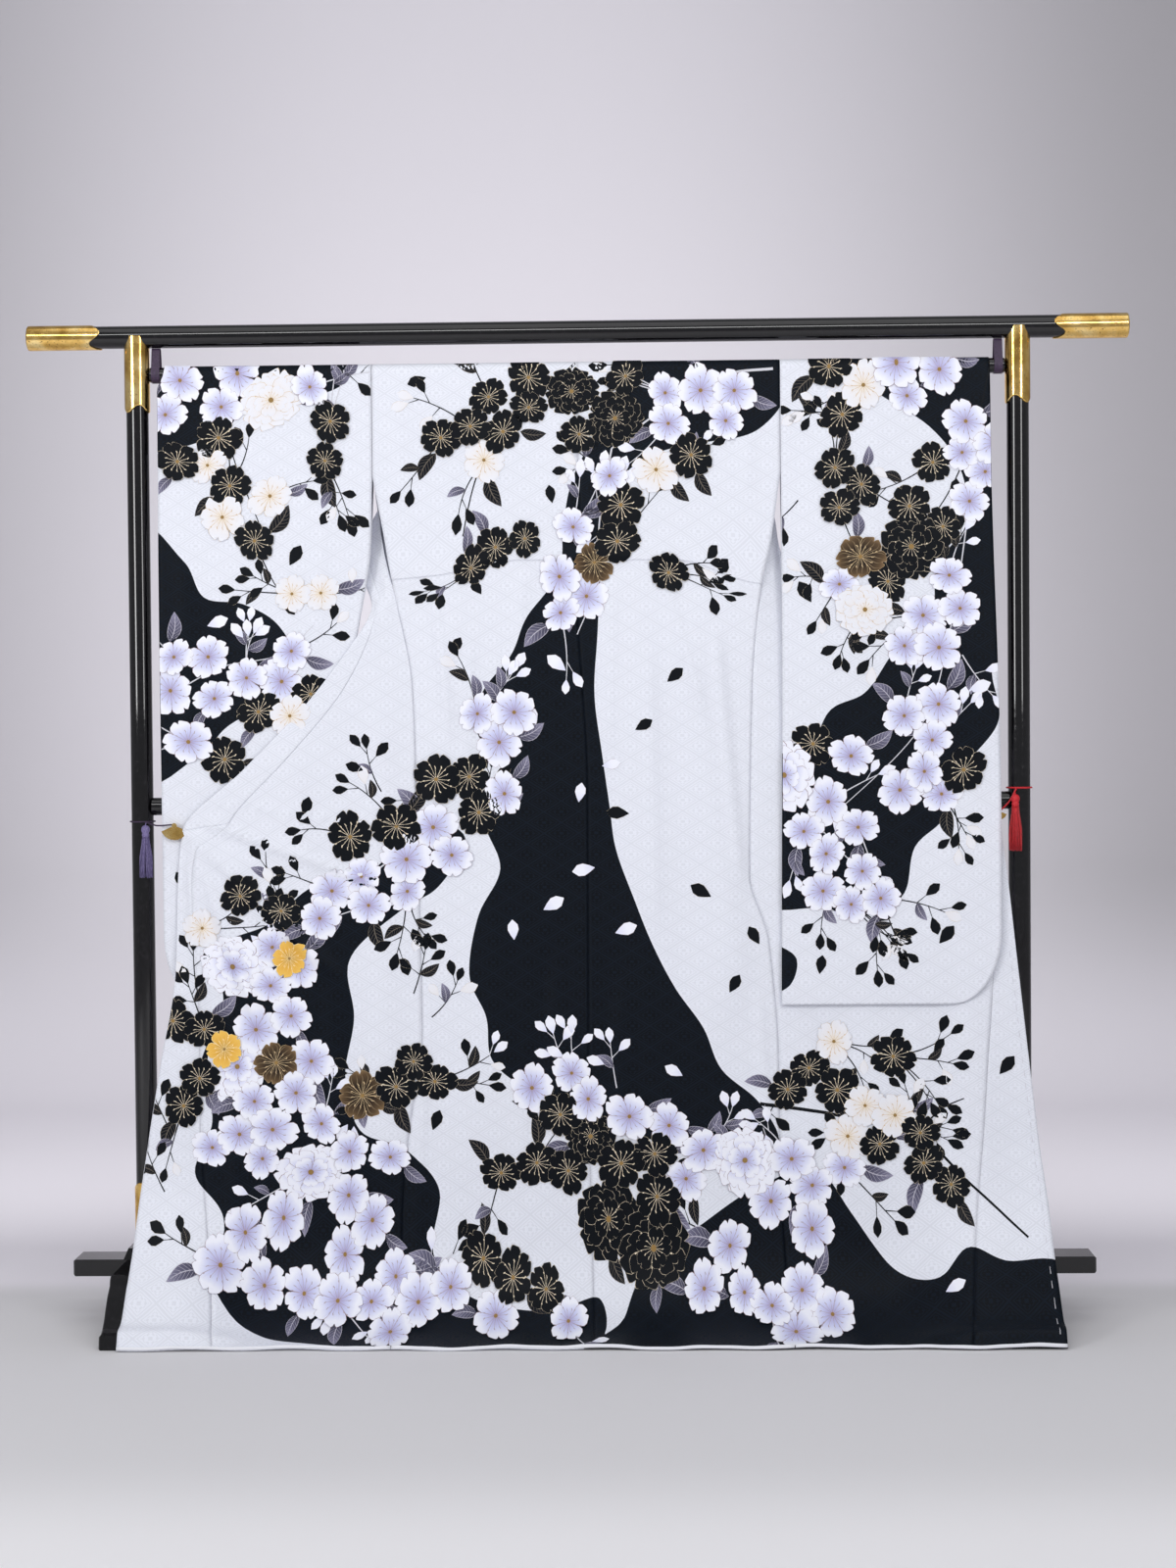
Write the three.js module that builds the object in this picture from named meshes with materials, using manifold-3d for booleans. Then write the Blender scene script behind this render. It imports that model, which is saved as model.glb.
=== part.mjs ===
// A long-sleeved furisode kimono, spread with its back to the front on a lacquered kimono stand.
// Millimetres, +Z up. +X is to the right of someone who looks at the kimono's back along +Y.
// The floor is z = 0 and the origin is the middle of the footprint.
import * as THREE from 'three';
import { mergeVertices } from 'three/addons/utils/BufferGeometryUtils.js';
import Module from 'manifold-3d';

const wasm = await Module();
wasm.setup();

// ---------------------------------------------------------------- driving dimensions
const GAP = 0.3; // between pieces that are sewn, fitted or laid together
const WALL = 1.2; // cloth
const POST_PLANE = 6; // y of the plane that holds posts, rails and rod

const RAIL = { half: 918, radius: 18.8, z: 1667 };
const CAP = { length: 115, wall: 1.9, end: 3.2, wave: 9 };
const POST = { x: 738, radius: 18.5 };
const JOINT = { wall: 2.4, drop: 122, wave: 7, footLow: 147, footHigh: 236 };
const MID_RAIL = { z: 877, radius: 15 };
const FOOT_RAIL = { half: 859, depth: 63.6, low: 86.4, high: 114.6, chamfer: 3 };
const POST_BASE = { low: 70, top: 56, height: 18 };
const FOOT = { width: 90, bevel: 2.5 };
const ROD = { half: 716, radius: 12.7, z: 1603 };
const BAND = { x: 705, width: 14, thick: 1.1, top: 5 };

const NECK = 90; // half width of the neck opening
const COLLAR_WIDTH = 85;
const COLLAR_WALL = 1.8; // folded double
const COLLAR_LEAN = 0.06; // how far it stands off behind the rod, for each millimetre it drops
const SLEEVE = { bottom: 538, mouth: 1370, cornerWide: 84, cornerHigh: 120 };
const FOLD_RADIUS = ROD.radius + WALL; // middle of the cloth where it lies over the rod
const SHOULDER_H = ROD.z + FOLD_RADIUS;
const SWEEP_H = 300; // below this height the cloth swings forward to the floor
const TUCK = { height: 1284, step: 2.4 };

// ---------------------------------------------------------------- curves through short tables
// A smooth curve through a table's rows, column `to` against column `from`.
function curve(rows, from, to) {
  const sorted = [...rows].sort((a, b) => a[from] - b[from]);
  const x = sorted.map((row) => row[from]);
  const y = sorted.map((row) => row[to]);
  const last = x.length - 1;
  const rise = (i) => (y[i + 1] - y[i]) / (x[i + 1] - x[i]);
  const slope = x.map((_, i) => {
    if (i === 0) return rise(0);
    if (i === last) return rise(last - 1);
    const before = rise(i - 1);
    const after = rise(i);
    return before * after <= 0 ? 0 : (2 * before * after) / (before + after);
  });
  return (value) => {
    if (value <= x[0]) return y[0];
    if (value >= x[last]) return y[last];
    let i = 0;
    while (value > x[i + 1]) i += 1;
    const width = x[i + 1] - x[i];
    const t = (value - x[i]) / width;
    const a = (1 + 2 * t) * (1 - t) ** 2 * y[i] + t ** 2 * (3 - 2 * t) * y[i + 1];
    return a + width * (t * (1 - t) ** 2 * slope[i] - t ** 2 * (1 - t) * slope[i + 1]);
  };
}

const mix = (a, b, t) => a + (b - a) * t;
const clamp01 = (t) => Math.min(1, Math.max(0, t));
const ease = (t) => clamp01(t) ** 2 * (3 - 2 * clamp01(t));
const bell = (t) => Math.exp(-(t ** 2));
const steps = (from, to, count) => Array.from({ length: count + 1 }, (_, i) => mix(from, to, i / count));

// ---------------------------------------------------------------- how the cloth hangs
// Heights are nominal: above SWEEP_H they are true, below it they run down the forward sweep.
// Outer edge of each back panel, which is the slit under the sleeve and then the side seam.
const SIDE_LEFT = curve([
  { h: 1426, x: -341 }, { h: 1323, x: -322 }, { h: 1285, x: -316 }, { h: 1219, x: -303 },
  { h: 1076, x: -277 }, { h: 909, x: -272 }, { h: 741, x: -269 }, { h: 489, x: -266 },
  { h: 418, x: -277 }, { h: 173, x: -304 }, { h: 0, x: -306 },
], 'h', 'x');
const SIDE_RIGHT = curve([
  { h: 1426, x: 341 }, { h: 1300, x: 322 }, { h: 1251, x: 310 }, { h: 1071, x: 292 },
  { h: 755, x: 286 }, { h: 645, x: 317 }, { h: 448, x: 332 }, { h: 251, x: 334 },
  { h: 97, x: 343 }, { h: 0, x: 346 },
], 'h', 'x');
const CENTRE = curve([
  { h: 1610, x: 4 }, { h: 1303, x: 4 }, { h: 1238, x: 0 }, { h: 910, x: 15 }, { h: 416, x: 13 },
  { h: 0, x: 22 },
], 'h', 'x');
const TUCK_LINE = curve([
  { x: -330, h: 1254 }, { x: -235, h: 1262 }, { x: -96, h: 1286 }, { x: 166, h: 1284 },
  { x: 289, h: 1246 }, { x: 330, h: 1240 },
], 'x', 'h');

// Depth of the middle of each layer, from front (-y) to far side, where it hangs flat.
const BACK_Y = curve([
  { h: 1603, y: -13.9 }, { h: 1426, y: -17 }, { h: 1300, y: -20 }, { h: 1100, y: -22 }, { h: 300, y: -22 },
], 'h', 'y');
const SLEEVE_Y = {
  left: {
    near: curve([{ h: 1603, y: -13.9 }, { h: 1426, y: -17 }, { h: 1300, y: -22.5 }, { h: 1150, y: -26 }], 'h', 'y'),
    far: curve([{ h: 1603, y: 13.9 }, { h: 1426, y: 11 }, { h: 1290, y: -10 }, { h: 1180, y: -18 },
      { h: 1000, y: -22 }], 'h', 'y'),
  },
  right: {
    near: curve([{ h: 1603, y: -13.9 }, { h: 1426, y: -17 }, { h: 1300, y: -24 }, { h: 1120, y: -30.5 }], 'h', 'y'),
    far: curve([{ h: 1603, y: 13.9 }, { h: 1426, y: 11 }, { h: 1290, y: -9 }, { h: 1150, y: -20 },
      { h: 1000, y: -26.5 }], 'h', 'y'),
  },
};

// The sweep to the floor, q from 0 at SWEEP_H to 1 at the hem: free between the feet, and propped on a foot.
const SWEEP = [
  { q: 0, y: -22, z: 300, footY: -22, footZ: 300 },
  { q: 0.25, y: -23, z: 222, footY: -36, footZ: 226 },
  { q: 0.45, y: -29, z: 142, footY: -64, footZ: 160 },
  { q: 0.62, y: -50, z: 74, footY: -103, footZ: 108 },
  { q: 0.72, y: -75, z: 42, footY: -128, footZ: 81 },
  { q: 0.84, y: -122, z: 15, footY: -168, footZ: 38 },
  { q: 0.91, y: -156, z: 6, footY: -190, footZ: 30 },
  { q: 0.96, y: -179, z: 2.5, footY: -197, footZ: 13 },
  { q: 1, y: -200, z: 1, footY: -201, footZ: 1 },
];
const SWEEP_Y = curve(SWEEP, 'q', 'y');
const SWEEP_Z = curve(SWEEP, 'q', 'z');
const SWEEP_FOOT_Y = curve(SWEEP, 'q', 'footY');
const SWEEP_FOOT_Z = curve(SWEEP, 'q', 'footZ');
const overFoot = (x) => ease((Math.abs(x) - 500) / 170);

// Soft folds that stand forward of their layer (depth > 0) or sink behind it, each a ridge along a
// line from (xTop, top) to (xLow, low), faded out at both ends.
const FOLDS = [
  { xTop: -210, top: 1210, xLow: -226, low: 820, depth: 7, width: 34, fade: 150 },
  { xTop: -120, top: 1240, xLow: -150, low: 330, depth: 4, width: 46, fade: 260 },
  { xTop: -40, top: 1200, xLow: -30, low: 60, depth: 4, width: 60, fade: 300 },
  { xTop: 95, top: 1230, xLow: 130, low: 260, depth: 6, width: 48, fade: 260 },
  { xTop: 190, top: 1180, xLow: 262, low: 560, depth: 9, width: 36, fade: 160 },
  { xTop: 225, top: 600, xLow: 215, low: 40, depth: 5, width: 50, fade: 200 },
  { xTop: -585, top: 760, xLow: -470, low: 250, depth: 9, width: 44, fade: 150 },
  { xTop: -500, top: 1000, xLow: -430, low: 560, depth: 7, width: 40, fade: 140 },
  { xTop: -330, top: 1080, xLow: -325, low: 200, depth: 4, width: 26, fade: 200 },
  { xTop: -660, top: 640, xLow: -690, low: 60, depth: 6, width: 34, fade: 160 },
  { xTop: 640, top: 560, xLow: 690, low: 60, depth: 7, width: 40, fade: 160 },
  { xTop: 480, top: 520, xLow: 470, low: 40, depth: 5, width: 60, fade: 160 },
];
function foldsAt(x, h) {
  return FOLDS.reduce((sum, fold) => {
    const along = (fold.top - h) / (fold.top - fold.low);
    const inside = ease((fold.top - h) / fold.fade + 0.5) * ease((h - fold.low) / fold.fade + 0.5);
    return sum - fold.depth * inside * bell((x - mix(fold.xTop, fold.xLow, along)) / fold.width);
  }, 0);
}

// The point of a near layer at x and nominal height h. `flatY` is the layer's depth there.
function nearPoint(x, h, flatY) {
  if (h > ROD.z) {
    const angle = ((SHOULDER_H - h) / FOLD_RADIUS) * (Math.PI / 2);
    return [x, -FOLD_RADIUS * Math.sin(angle), ROD.z + FOLD_RADIUS * Math.cos(angle)];
  }
  if (h >= SWEEP_H) return [x, flatY, h];
  const q = 1 - h / SWEEP_H;
  const foot = overFoot(x);
  const forward = (flatY - SWEEP[0].y) * (1 - q) ** 1.5;
  return [
    x,
    mix(SWEEP_Y(q), SWEEP_FOOT_Y(q), foot) + forward,
    mix(SWEEP_Z(q), SWEEP_FOOT_Z(q), foot),
  ];
}

// ---------------------------------------------------------------- closed cloth walls
// A closed wall about the middle surface point(u, v). Where upright(v) is 1 the wall is measured in
// the y-z plane only, so that edges cut along x stay clear of the next piece.
function clothWall(us, vs, point, { thickness = WALL, upright = () => 1 } = {}) {
  const D = 1e-4;
  const outAt = (u, v) => {
    const along = (du, dv) => {
      const a = new THREE.Vector3(...point(clamp01(u - du), clamp01(v - dv)));
      return new THREE.Vector3(...point(clamp01(u + du), clamp01(v + dv))).sub(a);
    };
    const normal = along(D, 0).cross(along(0, D)).normalize();
    const out = normal.clone();
    out.x *= 1 - upright(v);
    return out.multiplyScalar(thickness / 2 / Math.max(out.dot(normal), 0.5));
  };
  const positions = [];
  const index = [];
  const cols = us.length;
  const rows = vs.length;
  for (const side of [1, -1]) {
    for (const v of vs) {
      for (const u of us) positions.push(...outAt(u, v).multiplyScalar(side).add(new THREE.Vector3(...point(u, v))));
    }
  }
  const at = (i, j, side) => (side > 0 ? 0 : cols * rows) + j * cols + i;
  const quad = (a, b, c, d) => index.push(a, b, c, a, c, d);
  for (let j = 0; j + 1 < rows; j += 1) {
    for (let i = 0; i + 1 < cols; i += 1) {
      quad(at(i, j, 1), at(i + 1, j, 1), at(i + 1, j + 1, 1), at(i, j + 1, 1));
      quad(at(i, j, -1), at(i, j + 1, -1), at(i + 1, j + 1, -1), at(i + 1, j, -1));
    }
  }
  for (let i = 0; i + 1 < cols; i += 1) {
    quad(at(i, 0, -1), at(i + 1, 0, -1), at(i + 1, 0, 1), at(i, 0, 1));
    quad(at(i, rows - 1, 1), at(i + 1, rows - 1, 1), at(i + 1, rows - 1, -1), at(i, rows - 1, -1));
  }
  for (let j = 0; j + 1 < rows; j += 1) {
    quad(at(0, j, 1), at(0, j + 1, 1), at(0, j + 1, -1), at(0, j, -1));
    quad(at(cols - 1, j, -1), at(cols - 1, j + 1, -1), at(cols - 1, j + 1, 1), at(cols - 1, j, 1));
  }
  return closed(positions, index);
}

// A closed body of the given corners and triangles, turned so that its faces look outwards.
function closed(positions, index) {
  const corner = (i) => new THREE.Vector3().fromArray(positions, index[i] * 3);
  let volume = 0;
  for (let i = 0; i < index.length; i += 3) {
    volume += corner(i).dot(corner(i + 1).cross(corner(i + 2)));
  }
  const geometry = new THREE.BufferGeometry();
  geometry.setAttribute('position', new THREE.Float32BufferAttribute(positions, 3));
  geometry.setIndex(volume < 0 ? [...index].reverse() : index);
  return geometry;
}

// ---------------------------------------------------------------- rows of the body
const TOP = SHOULDER_H - GAP / 3; // the back and the fronts part here, on the shoulder line
const SEWN_H = 1210; // from here down each front is sewn to the back
const OVER_ROD = steps(TOP, ROD.z, 4);
const SEAM_HEIGHTS = [
  SEWN_H, 1130, 1050, 970, 895, 838, 760, 680, 600, 520, 440, 360, 300, 255, 212, 172, 136, 104, 76, 50,
  28, 12, 0,
];

// ---------------------------------------------------------------- back panels
const TUCK_HEIGHTS = [44, 18, 2.5, -1.5, -26].map((d) => TUCK.height + d);
const BACK_HEIGHTS = [...OVER_ROD, 1515, 1426, 1370, ...TUCK_HEIGHTS, ...SEAM_HEIGHTS];

// The lap of cloth above the tuck line stands forward and drops back sharply below it.
function tuckStep(d) {
  return d > 0 ? -TUCK.step * ease(1 - d / 44) : -TUCK.step * ease(1 + d / 2);
}

// Heights near the tuck follow the line of the tuck, and come back to true above and below it.
function followTuck(x, h) {
  return h + (TUCK_LINE(x) - TUCK.height) * ease(1 - Math.abs(h - TUCK.height) / 74);
}

function backPanel(side) {
  const edge = side < 0 ? SIDE_LEFT : SIDE_RIGHT;
  return clothWall(steps(0, 1, 9), BACK_HEIGHTS.map((h) => 1 - h / TOP), (u, v) => {
    const h = (1 - v) * TOP;
    const inner = CENTRE(h) + (side * GAP) / 2;
    const x = mix(inner, edge(followTuck(edge(h), h)), side < 0 ? 1 - u : u);
    const height = followTuck(x, h);
    const depth = BACK_Y(height) + foldsAt(x, height) + tuckStep(h - TUCK.height);
    return nearPoint(x, height, depth);
  });
}

// ---------------------------------------------------------------- fronts, okumi and collar
// Each front hangs from the rod on the far side, turns through the slit under the sleeve and is spread
// outwards. Its rows run from the side edge (x, y, h) to the free edge (freeX, freeY, freeH); `bag` is
// the slack that bellies to the far side where the row is drawn together.
const LEFT_ROWS = [
  { h: 1603, x: -341, y: 14, freeX: -NECK, freeY: 14, freeH: 1603, bag: 0 },
  { h: 1515, x: -341, y: 13, freeX: -160, freeY: 14, freeH: 1490, bag: 8 },
  { h: 1426, x: -341, y: 11, freeX: -232, freeY: 11, freeH: 1372, bag: 20 },
  { h: 1372, x: -335, y: 3, freeX: -292, freeY: 2, freeH: 1276, bag: 26 },
  { h: 1300, x: -323, y: -10, freeX: -338, freeY: -16, freeH: 1204, bag: 12 },
  { h: 1210, x: -303, y: -21, freeX: -380, freeY: -31, freeH: 1143, bag: 0 },
  { h: 1120, x: -285, y: -22, freeX: -450, freeY: -31.5, freeH: 1053, bag: 0 },
  { h: 1010, x: -276, y: -22, freeX: -560, freeY: -32, freeH: 940, bag: 0 },
  { h: 895, x: -272, y: -22, freeX: -664, freeY: -32, freeH: 838, bag: 0 },
  { h: 780, x: -270, y: -22, freeX: -673, freeY: -32, freeH: 760, bag: 0 },
  { h: 600, x: -267, y: -22, freeX: -679, freeY: -32, freeH: 598, bag: 0 },
  { h: 440, x: -272, y: -22, freeX: -707, freeY: -32, freeH: 440, bag: 0 },
  { h: 300, x: -290, y: -22, freeX: -731, freeY: -32, freeH: 300, bag: 0 },
  { h: 177, x: -302, y: -22, freeX: -746, freeY: -32, freeH: 177, bag: 0 },
  { h: 0, x: -306, y: -22, freeX: -752, freeY: -32, freeH: 0, bag: 0 },
];
const RIGHT_ROWS = [
  { h: 1603, x: 341, y: 14, freeX: NECK, freeY: 14, freeH: 1603, bag: 0 },
  { h: 1520, x: 341, y: 13.5, freeX: 172, freeY: 14, freeH: 1508, bag: 8 },
  { h: 1440, x: 341, y: 12, freeX: 250, freeY: 17, freeH: 1405, bag: 14 },
  { h: 1376, x: 334, y: 6, freeX: 306, freeY: 18, freeH: 1338, bag: 8 },
  { h: 1312, x: 324, y: -4, freeX: 356, freeY: 9, freeH: 1276, bag: 2 },
  { h: 1230, x: 307, y: -19, freeX: 430, freeY: -2, freeH: 1185, bag: 0 },
  { h: 1120, x: 296, y: -22, freeX: 545, freeY: -13, freeH: 1044, bag: 0 },
  { h: 1010, x: 291, y: -22, freeX: 636, freeY: -19.5, freeH: 930, bag: 0 },
  { h: 895, x: 288, y: -22, freeX: 698, freeY: -20.6, freeH: 860, bag: 0 },
  { h: 780, x: 286, y: -22, freeX: 712, freeY: -20.6, freeH: 775, bag: 0 },
  { h: 600, x: 322, y: -22, freeX: 732, freeY: -20.6, freeH: 600, bag: 0 },
  { h: 440, x: 332, y: -22, freeX: 750, freeY: -21.5, freeH: 440, bag: 0 },
  { h: 300, x: 333, y: -22, freeX: 766, freeY: -24, freeH: 300, bag: 0 },
  { h: 177, x: 338, y: -22, freeX: 779, freeY: -26, freeH: 177, bag: 0 },
  { h: 0, x: 346, y: -22, freeX: 783, freeY: -26, freeH: 0, bag: 0 },
];
const TWIST = { height: 1345, reach: 90, gap: 0.04 }; // where each front turns over in the slit
// Fullness of the turned cloth, which bellies out sideways behind the slit.
const FULLNESS = {
  left: curve([{ h: 1460, x: 0 }, { h: 1420, x: 30 }, { h: 1372, x: 46 }, { h: 1310, x: 30 }, { h: 1262, x: 0 }], 'h', 'x'),
  right: curve([{ h: 1460, x: 0 }, { h: 1420, x: 7 }, { h: 1376, x: 10 }, { h: 1310, x: 0 }], 'h', 'x'),
};
const CLIP_H = 895; // height at the side of the row whose free end is held by the clip
const FRONT_HEIGHTS = [
  ...OVER_ROD, 1560, 1515, 1470, 1426, 1398, 1372, 1348, 1324, 1300, 1277, 1255, 1232, ...SEAM_HEIGHTS,
];

// How far across its row the seam between a front and its collar (above the clip) or okumi (below it) lies.
const SEAM_SHARE = {
  left: curve([
    { h: 1617, s: 0.7 }, { h: 1515, s: 0.6 }, { h: 1426, s: 0.48 }, { h: 1348, s: 0.36 },
    { h: 1300, s: 0.36 }, { h: 1210, s: 0.52 }, { h: 1120, s: 0.63 }, { h: 1010, s: 0.74 },
    { h: 895, s: 0.8 }, { h: 838, s: 0.93 }, { h: 780, s: 0.94 }, { h: 600, s: 0.91 },
    { h: 440, s: 0.845 }, { h: 300, s: 0.79 }, { h: 177, s: 0.73 }, { h: 0, s: 0.65 },
  ], 'h', 's'),
  right: curve([
    { h: 1617, s: 0.7 }, { h: 1520, s: 0.6 }, { h: 1440, s: 0.48 }, { h: 1376, s: 0.36 },
    { h: 1312, s: 0.4 }, { h: 1230, s: 0.55 }, { h: 1120, s: 0.67 }, { h: 1010, s: 0.75 },
    { h: 895, s: 0.8 }, { h: 838, s: 0.93 }, { h: 780, s: 0.94 }, { h: 600, s: 0.9 },
    { h: 440, s: 0.835 }, { h: 300, s: 0.78 }, { h: 177, s: 0.72 }, { h: 0, s: 0.65 },
  ], 'h', 's'),
};

function spreadFront(side) {
  const rows = side < 0 ? LEFT_ROWS : RIGHT_ROWS;
  const of = (column) => curve(rows, 'h', column);
  const [x, y, freeX, freeY, freeH, bag] = ['x', 'y', 'freeX', 'freeY', 'freeH', 'bag'].map(of);
  const edge = side < 0 ? SIDE_LEFT : SIDE_RIGHT;
  const fullness = side < 0 ? FULLNESS.left : FULLNESS.right;
  return (s, h) => {
    const beside = mix(x(h), edge(h) + side * GAP, ease((1300 - h) / (1300 - SEWN_H)));
    const across = mix(beside, freeX(h), s) + side * fullness(h) * Math.sin(Math.PI * s) ** 4;
    if (h >= ROD.z) {
      const angle = ((SHOULDER_H - h) / FOLD_RADIUS) * (Math.PI / 2);
      return [across, FOLD_RADIUS * Math.sin(angle), ROD.z + FOLD_RADIUS * Math.cos(angle)];
    }
    const height = mix(h, freeH(h), s);
    const toFreeEdge = 1 - (1 - s) ** 2.4;
    const spread = clamp01((SEWN_H - h) / 200);
    const depth = mix(y(h), freeY(h), toFreeEdge) + bag(h) * Math.sin(Math.PI * s) ** 2
      + foldsAt(across, height) * spread;
    return height < SWEEP_H ? nearPoint(across, height, depth) : [across, depth, height];
  };
}

// Part of a spread front: heights from first to last, and across each row from one share to another.
function frontPiece(side, { heights, columns, from, to, thickness = WALL }) {
  const surface = spreadFront(side);
  const [top, low] = [heights[0], heights[heights.length - 1]];
  const height = (v) => mix(top, low, v);
  return clothWall(steps(0, 1, columns), heights.map((h) => (top - h) / (top - low)), (u, v) => {
    const h = height(v);
    return surface(mix(from(h), to(h), side < 0 ? u : 1 - u), h);
  }, { thickness, upright: (v) => ease((TWIST.height - 10 - height(v)) / 74) });
}

const SEAM_GAP = GAP / 240; // a seam's gap as a share of a row

function frontPanel(side, name) {
  return frontPiece(side, { heights: FRONT_HEIGHTS, columns: 7, from: () => 0, to: SEAM_SHARE[name] });
}

function okumiPanel(side, name) {
  const heights = [CLIP_H - 2 * GAP, ...FRONT_HEIGHTS.filter((h) => h < CLIP_H)];
  return frontPiece(side, { heights, columns: 3, from: (h) => SEAM_SHARE[name](h) + SEAM_GAP, to: () => 1 });
}

function collarSide(side, name) {
  const heights = FRONT_HEIGHTS.filter((h) => h >= CLIP_H);
  const slack = (h) => TWIST.gap * ease(1 - Math.abs(h - TWIST.height) / TWIST.reach);
  return frontPiece(side, {
    heights,
    columns: 2,
    thickness: COLLAR_WALL,
    from: (h) => SEAM_SHARE[name](h) + 2 * SEAM_GAP + slack(h),
    to: () => 1,
  });
}

// The collar crosses the back of the neck over the rod and hangs down behind it.
function collarNeck() {
  const half = NECK - GAP;
  const arc = FOLD_RADIUS * (Math.PI / 2);
  const stations = [...steps(GAP / 2, arc, 5), 42, 64, COLLAR_WIDTH];
  return clothWall(steps(0, 1, 6), stations.map((along) => along / COLLAR_WIDTH), (u, v) => {
    const along = v * COLLAR_WIDTH;
    const x = mix(-half, half, u);
    if (along > arc) return [x, FOLD_RADIUS + (along - arc) * COLLAR_LEAN, ROD.z - (along - arc)];
    const angle = along / FOLD_RADIUS;
    return [x, FOLD_RADIUS * Math.sin(angle), ROD.z + FOLD_RADIUS * Math.cos(angle)];
  });
}

// ---------------------------------------------------------------- sleeves
// One length of cloth folded over the rod: up the near side and down the far side, u from the body
// outwards. The two walls close to a seam along the outer edge below the wrist opening and at the foot.
const SLEEVE_IN = {
  left: curve([{ h: 1426, x: 341.6 }, { h: 1307, x: 345 }, { h: 1187, x: 364 }, { h: 1077, x: 383 },
    { h: 900, x: 390 }, { h: 538, x: 394 }], 'h', 'x'),
  right: curve([{ h: 1426, x: 341.6 }, { h: 1300, x: 342 }, { h: 538, x: 337 }], 'h', 'x'),
};
const SLEEVE_OUT = {
  left: curve([{ h: 1617, x: 689 }, { h: 1603, x: 691 }, { h: 1575, x: 702 }, { h: 538, x: 699 }], 'h', 'x'),
  right: curve([{ h: 1617, x: 689 }, { h: 1603, x: 690 }, { h: 1394, x: 692 }, { h: 823, x: 704 },
    { h: 538, x: 704 }], 'h', 'x'),
};
const SLEEVE_FOLDS = [
  { side: 'left', x: 470, top: 1500, low: 700, depth: 4, width: 60 },
  { side: 'left', x: 600, top: 1450, low: 620, depth: -3, width: 50 },
  { side: 'right', x: 430, top: 1480, low: 600, depth: 4, width: 60 },
  { side: 'right', x: 560, top: 1400, low: 640, depth: -3.5, width: 55 },
  { side: 'right', x: 660, top: 1300, low: 620, depth: 3, width: 40 },
];

const SLEEVE_HEIGHTS = [
  538, 547, 564, 592, 634, 700, 820, 960, 1100, 1220, 1310, 1370, 1426, 1500, 1570, ROD.z, ROD.z + 3.5,
  ROD.z + 7, ROD.z + 10.5, SHOULDER_H,
];

function sleeve(side, name) {
  const inner = SLEEVE_IN[name];
  const outer = SLEEVE_OUT[name];
  const depth = SLEEVE_Y[name];
  const folds = SLEEVE_FOLDS.filter((fold) => fold.side === name);
  const reach = SHOULDER_H - SLEEVE.bottom;
  const near = SLEEVE_HEIGHTS.map((h) => h - SHOULDER_H);
  const runs = [...near, ...near.slice(0, -1).reverse().map((run) => -run)];
  return clothWall([0, 0.16, 0.34, 0.52, 0.7, 0.86, 0.95, 1], runs.map((run) => (run / reach + 1) / 2), (u, v) => {
    const run = (2 * v - 1) * reach; // from the foot of the near wall, over the rod, to the foot of the far wall
    const isFar = run > 0;
    const h = SHOULDER_H - Math.abs(run);
    const round = clamp01((SLEEVE.bottom + SLEEVE.cornerHigh - h) / SLEEVE.cornerHigh);
    const cut = SLEEVE.cornerWide * (1 - Math.sqrt(1 - round ** 2 * 0.998));
    const rim = outer(h) - cut;
    const x = mix(inner(h), rim, side < 0 ? 1 - u : u);
    if (h > ROD.z) {
      const angle = ((SHOULDER_H - h) / FOLD_RADIUS) * (Math.PI / 2) * (isFar ? 1 : -1);
      return [side * x, FOLD_RADIUS * Math.sin(angle), ROD.z + FOLD_RADIUS * Math.cos(angle)];
    }
    const fold = folds.reduce((sum, f) => sum
      - f.depth * ease((f.top - h) / 200) * ease((h - f.low) / 200 + 0.2) * bell((x - f.x) / f.width), 0);
    const sewnSide = ease(1 - (rim - x - 42) / 42) * ease((SLEEVE.mouth - h) / 60);
    const sewn = Math.max(sewnSide, ease(1 - (h - SLEEVE.bottom) / 40));
    const nearY = depth.near(h) + fold;
    const open = depth.far(h) - depth.near(h);
    return [side * x, isFar ? nearY + mix(open, WALL + GAP, sewn) : nearY, h];
  });
}

// ---------------------------------------------------------------- stand
// A closed ring or rod about an axis: each station gives its radii and its ends by angle.
function roundPiece({ sides = 24, outer, inner = 0, low, high, axis = 'z' }) {
  const positions = [];
  const index = [];
  const put = (radius, angle, along) => {
    const a = radius * Math.cos(angle);
    const b = radius * Math.sin(angle);
    const p = axis === 'z' ? [a, b, along] : [along, a, b];
    positions.push(...p);
    return positions.length / 3 - 1;
  };
  const ring = (radius, end) => steps(0, 2 * Math.PI, sides).slice(0, -1)
    .map((angle) => put(radius, angle, end(angle, radius)));
  const join = (first, second) => first.forEach((_, i) => {
    const k = (i + 1) % sides;
    index.push(first[i], first[k], second[k], first[i], second[k], second[i]);
  });
  const outLow = ring(outer, low);
  const outHigh = ring(outer, high);
  join(outLow, outHigh);
  if (inner > 0) {
    const inLow = ring(inner, low);
    const inHigh = ring(inner, high);
    join(inHigh, inLow);
    join(outHigh, inHigh);
    join(inLow, outLow);
  } else {
    const mean = (ids) => ids.reduce((sum, id) => sum + positions[id * 3 + (axis === 'z' ? 2 : 0)], 0) / sides;
    const top = put(0, 0, mean(outHigh));
    const bottom = put(0, 0, mean(outLow));
    outHigh.forEach((id, i) => index.push(id, outHigh[(i + 1) % sides], top));
    outLow.forEach((id, i) => index.push(outLow[(i + 1) % sides], id, bottom));
  }
  return closed(positions, index);
}

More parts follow.
